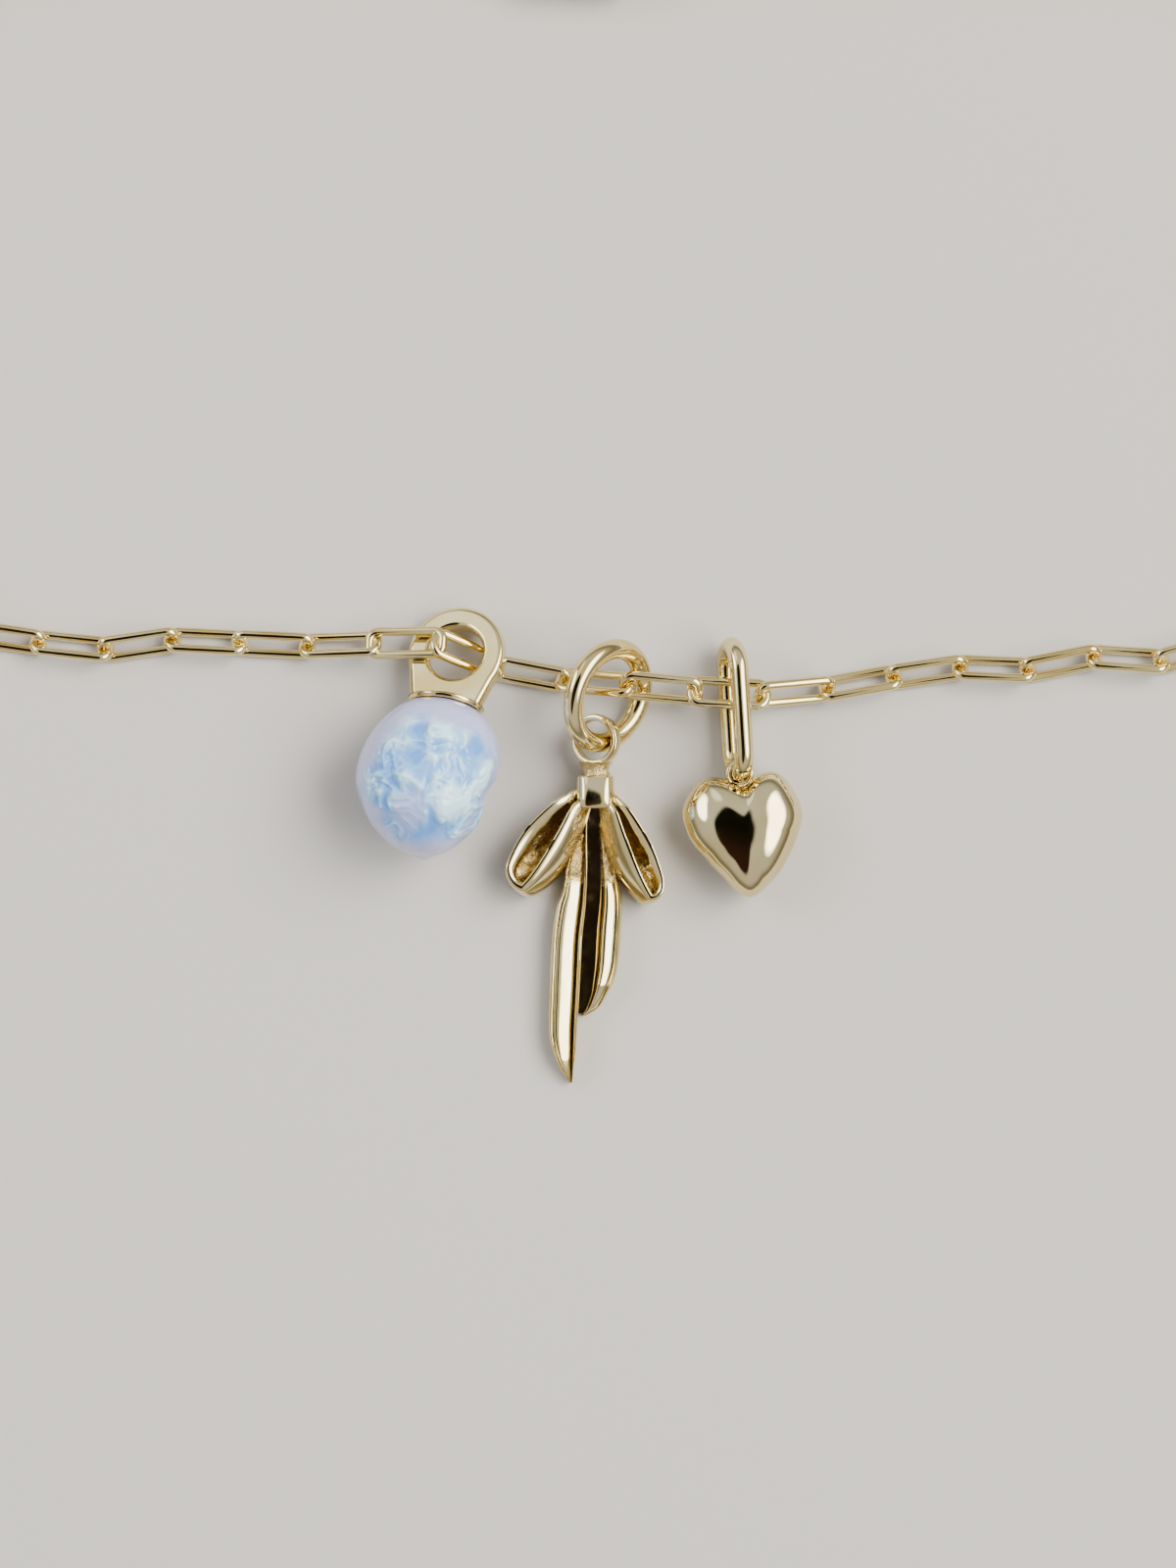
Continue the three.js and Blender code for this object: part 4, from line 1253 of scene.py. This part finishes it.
            # A ribbon that narrows is thinner too
            thin = self.tail_thickness * (0.4 + 0.6 * min(wide * 1.5, 1.0))
            raw = held((self.rough_length - length * down) / self.rough_fade)
            ring = []
            for x, z in shape:
                point = self.tail_point(down, length, self.tail_width * (across + x * wide / 2), z * thin)
                if z > 0.5 and abs(x) < 0.8:
                    point.z += raw * (0.15 * noise.noise(point * 3.3) + 0.12 * noise.noise(point * 5.9))
                ring.append(point)
            rings.append(ring)
        mesh = bmesh.new()
        loft(mesh, rings, closed=False)
        return to_mesh(mesh, "tail")

    def inside_of(self, rows: list[tuple[float, float, float]], share: float, side: int) -> float:
        """Across the bow to halfway between a tail's middle and its edge on one side, at a share of it."""
        return self.tail_width * (between(rows, share, 1) + side * between(rows, share, 2) / 4)

    def web_mesh(self) -> bpy.types.Mesh:
        """The sunk web that joins the two tails down to the short one's tip.

        Returns:
            The mesh, in millimetres of the plan.
        """
        rings = []
        for i in range(31):
            down = (0.05 + 0.94 * i / 30) * self.short_tail
            share, short = down / self.long_tail, down / self.short_tail
            left, right = self.inside_of(self.long_rows, share, 1), self.inside_of(self.short_rows, short, -1)
            low, high = 0.14, 0.44 - 0.1 * short
            rings.append([self.tail_point(share, self.long_tail, across, height) for across, height in (
                (left, low), (right, low), (right, high), ((left + right) / 2, high - 0.01), (left, high))])
        mesh = bmesh.new()
        loft(mesh, rings, closed=False)
        return to_mesh(mesh, "web")

    def barrel(self, rows: list[tuple[float, float, float]], square: float, rough: float) -> bpy.types.Mesh:
        """Lofts a barrel along the bow.

        Args:
            rows: place along the bow from the knot's middle, half width and half depth.
            square: how square the barrel is across, where 1 is an oval and less is squarer.
            rough: height of the raw texture.

        Returns:
            The mesh, in millimetres of the plan.
        """
        rings = []
        for at, half, deep in rows:
            ring = []
            for i in range(80):
                cosine, sine = math.cos(math.pi * i / 40), math.sin(math.pi * i / 40)
                point = Vector((half * math.copysign(abs(cosine) ** square, cosine), at,
                                deep * math.copysign(abs(sine) ** square, sine)))
                point += point.normalized() * rough * noise.noise(point * 3.7)
                ring.append(self.knot_at + point)
            rings.append(ring)
        mesh = bmesh.new()
        loft(mesh, rings, closed=False)
        return to_mesh(mesh, "barrel")

    def knot_mesh(self) -> bpy.types.Mesh:
        """The knot's band: sides that narrow a little upwards, a crowned face and crisp rolled edges.

        Returns:
            The mesh, in millimetres of the plan.
        """
        half, wide, deep = self.knot_length / 2, self.knot_width / 2, self.knot_depth / 2
        rows = []
        for t in (i / 20 for i in range(21)):
            crown = 1.0 - 0.2 * max(0.0, (t - 0.25) / 0.75) ** 2 - 0.08 * max(0.0, (0.25 - t) / 0.25) ** 2
            rows.append((half * (2 * t - 1), wide * (1.0 - 0.06 * t), deep * crown))

        def rolled(row: tuple[float, float, float], step: float, share: float) -> tuple[float, float, float]:
            """A row of the rolled edge: a step past an end row, and a share of its width and depth."""
            return (row[0] + step, row[1] * share, row[2] * share)

        low, high = rows[0], rows[-1]
        rows = [rolled(low, -0.07, 0.9), rolled(low, -0.05, 0.97), *rows,
                rolled(high, 0.04, 0.95), rolled(high, 0.05, 0.86)]
        return self.barrel(rows, self.knot_square, 0.0)

    def neck_mesh(self) -> bpy.types.Mesh:
        """The raw neck between the knot and the eyelet.

        Returns:
            The mesh, in millimetres of the plan.
        """
        half, wide, deep = self.knot_length / 2, self.knot_width / 2, self.knot_depth / 2
        rows = []
        for t in (i / 12 for i in range(13)):
            flare = 0.66 + 0.16 * abs(2 * t - 0.9) ** 2
            rows.append((half - 0.1 + (self.neck + 0.15) * t, wide * flare, deep * flare))
        return self.barrel(rows, self.neck_square, self.neck_grain)

    def eyelet_mesh(self) -> bpy.types.Mesh:
        """The eyelet above the neck, turned to meet the jump ring.

        Returns:
            The mesh, in millimetres of the plan.
        """
        diameter, hole, depth = self.eyelet
        place = self.knot_at + Vector((0.0, self.eyelet_reach, self.eyelet_rise))
        eyelet = ring_mesh(diameter, hole, depth, self.eyelet_rounding)
        tilt = Matrix.Rotation(math.radians(-self.eyelet_tilt), 4, "Y")
        eyelet.transform(Matrix.Translation(place) @ tilt)
        return eyelet

    def raw_share(self, point: Vector) -> float:
        """How much of the casting's raw skin is left at a point.

        Args:
            point: in millimetres of the plan.

        Returns:
            0 where it was polished, and up to 1 inside the loops, on the neck and at the roots of the tails.
        """
        rel = point - self.knot_at
        neck_from = self.knot_length / 2 + 0.06
        if neck_from < rel.y < neck_from + self.neck:
            # The neck was rubbed a little
            return 0.8
        for loop in self.loops:
            root, along, out = self.loop_axes(loop)
            off = Vector((point.x, point.y, 0.0)) - root
            stop = off.dot(along) / self.loop_length
            if not 0.05 < stop < 0.97:
                continue
            height = (point.z - 0.07) / self.ribbon
            across = off.dot(out) - self.lean_at(loop, stop, height)
            across -= between(self.loop_rows, stop, 2) * loop.width
            inner = between(self.loop_rows, stop, 1) * loop.width / 2 - loop.wall
            # The lips are polished down to a tenth of the ribbon's width
            if abs(across) < inner + 0.06 and height < 0.9:
                return min(1.0, (0.9 - height) / 0.1)
        down = -rel.y
        # The web between the tails is lower than this, and is polished
        web = 0.48 + self.tail_rise * (1.0 - down / self.long_tail) ** 2
        if not self.knot_length / 2 + 0.1 < down < self.rough_length or point.z < web:
            return 0.0
        tails = ((self.long_rows, self.long_tail, -1), (self.short_rows, self.short_tail, 1))
        for rows, length, side in tails:
            off = side * (rel.x - self.tail_width * between(rows, down / length, 1))
            half = self.tail_width * between(rows, down / length, 2) / 2
            if 0.1 - half < off < half + 0.12:
                return min(1.0, (self.rough_length - down) / self.rough_fade)
        return 0.0

    def mesh(self) -> bpy.types.Mesh:
        """Casts the bow in one piece, and marks where its skin is left raw.

        Returns:
            The mesh, in millimetres of the plan.
        """
        whole = fused([self.knot_mesh(), self.neck_mesh(), self.eyelet_mesh(),
                       *(self.loop_mesh(loop) for loop in self.loops),
                       *(self.fill_mesh(loop) for loop in self.loops),
                       self.tail_mesh(self.long_rows, self.long_tail, self.long_section),
                       self.tail_mesh(self.short_rows, self.short_tail, self.short_section),
                       self.web_mesh()])
        mesh = bmesh.new()
        mesh.from_mesh(whole)
        raw = mesh.verts.layers.float.new("as_cast")
        for vert in mesh.verts:
            vert[raw] = self.raw_share(vert.co)
        return to_mesh(mesh, "bow")


@dataclass
class HeartCharm:
    """The puffed heart, and the long oval bail that the chain passes through."""

    bail_at: Vector = field(default_factory=lambda: Vector((7.3, -9.65, 0.0)))
    bail_length: float = 7.3
    bail_width: float = 3.4
    bail_wire: float = 0.95
    bail_roll: float = 13.0
    bail_turn: float = 3.5
    eyelet_wall: float = 0.18
    eyelet_depth: float = 0.5
    eyelet_rounding: float = 0.08
    run_gap: float = 0.05
    skin: Puff = Puff(radius=3.1, half_height=1.675, fullness=0.8, mellow=0.75, level=0.93, outline=(
        (15, 0.96), (36, 0.99), (60, 1.03), (75, 0.9), (88, 0.66), (102, 0.735), (127, 1.01), (146, 1.04),
        (166, 1.035), (184, 0.94), (214, 0.81), (232, 0.82), (248, 0.885), (267, 1.07), (275, 1.12),
        (283, 1.08), (294, 0.98), (327, 0.85), (356, 0.87)))
    drop: float = 2.68
    aside: float = 0.27
    solder: tuple[float, float, float] = (0.66, 0.5, 0.62)
    solder_drop: float = 0.55

    def frame(self) -> Matrix:
        """The bail's flat: X along its length towards the heart, Z its axis.

        Returns:
            The matrix from the bail to the plan.
        """
        turn, roll = math.radians(self.bail_turn), math.radians(self.bail_roll)
        down = Vector((math.sin(turn), -math.cos(turn), 0.0))
        up = Vector((math.sin(roll), 0.0, math.cos(roll)))
        lift = (self.bail_width - self.bail_wire) / 2 * math.cos(roll) + self.bail_wire / 2
        return basis(self.bail_at + Vector((0, 0, lift)), down, down.cross(up))

    def bail_mesh(self) -> bpy.types.Mesh:
        """Bends the oval bail.

        Returns:
            The mesh, in millimetres of the plan.
        """
        half_width = (self.bail_width - self.bail_wire) / 2
        oval = wire_loop((self.bail_length - self.bail_wire) / 2, half_width, half_width, self.bail_wire,
                         sides=28, steps=20)
        oval.transform(self.frame())
        return oval

    def heart_mesh(self) -> bpy.types.Mesh:
        """Puffs the heart and solders its eyelet into the cleft.

        Returns:
            The mesh, in millimetres of the plan.
        """
        eyelet_at = self.frame() @ Vector(((self.bail_length - self.bail_wire) / 2, 0.0, 0.0))
        hole = self.bail_wire + 2 * self.run_gap
        eyelet = ring_mesh(hole + 2 * self.eyelet_wall, hole, self.eyelet_depth, self.eyelet_rounding)
        roll = math.radians(self.bail_roll)
        eyelet.transform(Matrix.Translation(eyelet_at) @ Matrix.Rotation(roll, 4, "Y"))
        centre = Vector((eyelet_at.x + self.aside, eyelet_at.y - self.drop, self.skin.half_height))
        body = bmesh.new()
        bmesh.ops.create_icosphere(body, subdivisions=6, radius=1.0)
        for vert in body.verts:
            vert.co = centre + self.skin.point(vert.co.normalized())
        # A lump of raw solder under the eyelet, kept clear of the bail
        stem = bmesh.new()
        bmesh.ops.create_icosphere(stem, subdivisions=4, radius=1.0)
        bmesh.ops.scale(stem, vec=self.solder, verts=stem.verts)
        for vert in stem.verts:
            vert.co *= 1.0 + 0.35 * noise.noise(vert.co * 3.1)
            vert.co.y = min(vert.co.y, self.solder[1])
        under = Vector((0, -hole / 2 - self.solder_drop, 0))
        bmesh.ops.translate(stem, vec=eyelet_at + under, verts=stem.verts)
        return fused([to_mesh(body, "heart"), to_mesh(stem, "stem"), eyelet])


def make_stage(ground: float) -> None:
    """Lays the pale floor, hangs the soft lights and sets the quiet surround.

    Args:
        ground: height of the floor, in metres.
    """
    mesh = bmesh.new()
    bmesh.ops.create_grid(mesh, x_segments=1, y_segments=1, size=1.5)
    bmesh.ops.translate(mesh, vec=(0, 0, ground), verts=mesh.verts)
    floor = add_object("floor", to_mesh(mesh, "floor"))
    # Matt pale paper: it scatters the light evenly, and its fibres, about 0.01 mm high, break up the gloss
    material = new_material("matt_pale_paper")
    tree = material.node_tree
    place = add_node(tree, "ShaderNodeTexCoord").outputs["Object"]
    fibre = add_node(tree, "ShaderNodeTexNoise", {
        "Vector": place, "Scale": per_metre(0.5), "Detail": 4.0, "Roughness": 0.6})
    normal = add_node(tree, "ShaderNodeBump", {"Height": fibre, "Distance": 0.01 * MM, "Strength": 0.3})
    shader = add_node(tree, "ShaderNodeBsdfPrincipled", {
        "Base Color": linear("bab6b0"), "Roughness": 0.85, "Normal": normal})
    add_node(tree, "ShaderNodeOutputMaterial", {"Surface": shader})
    floor.data.materials.append(material)
    make_surround()
    # Name, place and width in metres, power in watts, and colour
    lights = (
        ("window", (0.28, 0.16, 0.4), 0.34, 2.6, "fff8ee"),
        ("fill", (-0.4, 0.12, 0.34), 0.4, 0.5, "eef3ff"),
    )
    for name, place, size, power, colour in lights:
        data = bpy.data.lights.new(name, "AREA")
        data.shape = "DISK"
        data.size = size
        data.energy = power
        data.color = linear(colour)[:3]
        light = add_object(name, data)
        light.location = place
        light.rotation_euler = (-Vector(place)).to_track_quat("-Z", "Y").to_euler()
        light.visible_glossy = False


def patch(tree: bpy.types.NodeTree, way: bpy.types.NodeSocket, centre: tuple[float, float],
          size: tuple[float, float], edge: tuple[float, float]) -> bpy.types.NodeSocket:
    """An oval patch of the sky over the set.

    Args:
        tree: the world's node tree.
        way: the direction looked in.
        centre: the patch's middle, as the X and Y of a unit direction.
        size: its half sizes in the same measure.
        edge: the share of the size where it starts to fade, and where it is gone.

    Returns:
        1 inside the patch, 0 outside.
    """
    moved = add_node(tree, "ShaderNodeVectorMath", {0: way, 1: (-centre[0], -centre[1], 0.0)},
                     operation="ADD")
    scaled = add_node(tree, "ShaderNodeVectorMath", {0: moved, 1: (1 / size[0], 1 / size[1], 0.0)},
                      operation="MULTIPLY")
    reach = add_node(tree, "ShaderNodeVectorMath", {0: scaled}, operation="LENGTH").outputs["Value"]
    return add_node(tree, "ShaderNodeMapRange", {
        "Value": reach, "From Min": edge[0], "From Max": edge[1], "To Min": 1.0, "To Max": 0.0,
    }).outputs["Result"]


def make_surround() -> None:
    """Sets the studio that the gold reflects: pale walls, three softboxes and the dark camera stand."""
    world = bpy.data.worlds.new("studio")
    bpy.context.scene.world = world
    world.use_nodes = True
    tree = world.node_tree
    tree.nodes.clear()
    way = add_node(tree, "ShaderNodeTexCoord").outputs["Generated"]
    axes = add_node(tree, "ShaderNodeSeparateXYZ", {0: way})
    walls = add_node(tree, "ShaderNodeValToRGB", {"Fac": axes.outputs["Z"]})
    stops = walls.color_ramp.elements
    stops[0].position, stops[0].color = 0.0, linear("a8a39b")
    stops[1].position, stops[1].color = 1.0, linear("eceae6")
    for position, colour in ((0.16, "8a857c"), (0.4, "dedbd5")):
        stop = stops.new(position)
        stop.color = linear(colour)
    colour = walls.outputs["Color"]
    # The middle and half size of each as seen from below, where it fades, and its glow
    softboxes = (
        (patch(tree, way, (0.62, 0.06), (0.25, 0.58), (0.75, 1.0)), (9.0, 8.9, 8.6, 1.0)),
        (patch(tree, way, (-0.74, 0.3), (0.13, 0.36), (0.7, 1.0)), (7.0, 7.1, 7.2, 1.0)),
        (patch(tree, way, (-0.4, 0.66), (0.2, 0.24), (0.55, 1.0)), (1.6, 1.58, 1.5, 1.0)),
    )
    for share, glow in softboxes:
        colour = add_node(tree, "ShaderNodeMix", {0: share, 6: colour, 7: glow},
                          data_type="RGBA").outputs[2]
    stand = patch(tree, way, (-0.17, -0.2), (0.36, 0.6), (0.85, 1.0))
    rise = add_node(tree, "ShaderNodeMapRange", {
        "Value": axes.outputs["Y"], "From Min": -0.45, "From Max": 0.0, "To Min": 0.0, "To Max": 1.0})
    dark = add_node(tree, "ShaderNodeMix", {0: rise, 6: linear("3a2622"), 7: linear("14160f")},
                    data_type="RGBA").outputs[2]
    colour = add_node(tree, "ShaderNodeMix", {0: stand, 6: colour, 7: dark}, data_type="RGBA").outputs[2]
    back = add_node(tree, "ShaderNodeBackground", {"Color": colour, "Strength": 1.0})
    add_node(tree, "ShaderNodeOutputWorld", {"Surface": back.outputs["Background"]})


def make_camera(shift: Vector) -> None:
    """Hangs the camera straight above the middle of the photographed stretch.

    Args:
        shift: from the plan to the frame, in millimetres.
    """
    data = bpy.data.cameras.new("camera")
    data.sensor_fit = "VERTICAL"
    data.sensor_height = SENSOR
    data.sensor_width = SENSOR
    data.lens = SENSOR * CAMERA_DISTANCE / (PHOTO_HEIGHT / PIXELS_PER_MM)
    data.clip_start = 0.001
    camera = add_object("camera", data)
    camera.location = (VIEW_CENTRE + shift + UP * CAMERA_DISTANCE) * MM
    bpy.context.scene.camera = camera


def main() -> None:
    """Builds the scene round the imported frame."""
    logging.basicConfig(level=logging.INFO, format="%(message)s")
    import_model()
    heart, bow, pearl, chain = HeartCharm(), BowCharm(), PearlCharm(), Chain()
    low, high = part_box("heart_bail")
    bail_middle = (Vector(low) + Vector(high)) / 2 / MM
    shift = Vector((bail_middle.x - heart.bail_at.x, bail_middle.y - heart.bail_at.y, 0.0))
    LOG.info("shift of the plan: %.3f %.3f mm", shift.x, shift.y)
    make_camera(shift)
    make_stage(0.0)
    pieces = [
        Piece("cable_chain", "chain", chain.mesh(), CHAIN_GOLD),
        Piece("plain_clasp", "clasp", Clasp(chain).mesh(), CHARM_GOLD, flat=UP),
        Piece("pearl_ring_bail", "pearl_bail", pearl.bail_mesh(), CHARM_GOLD,
              flat=pearl.frame().to_3x3() @ UP),
        Piece("baroque_pearl", "pearl", pearl.pearl_mesh(), Nacre()),
        Piece("round_jump_ring", "bow_jump_ring", bow.ring_mesh(), CHARM_GOLD),
        Piece("ribbon_bow", "bow", bow.mesh(), CAST_GOLD, sharp=60.0),
        Piece("oval_bail", "heart_bail", heart.bail_mesh(), CHARM_GOLD),
        Piece("puffed_heart", "heart", heart.heart_mesh(), MIRROR_GOLD),
    ]
    for piece in pieces:
        piece.place(shift)


if __name__ == "__main__":
    main()
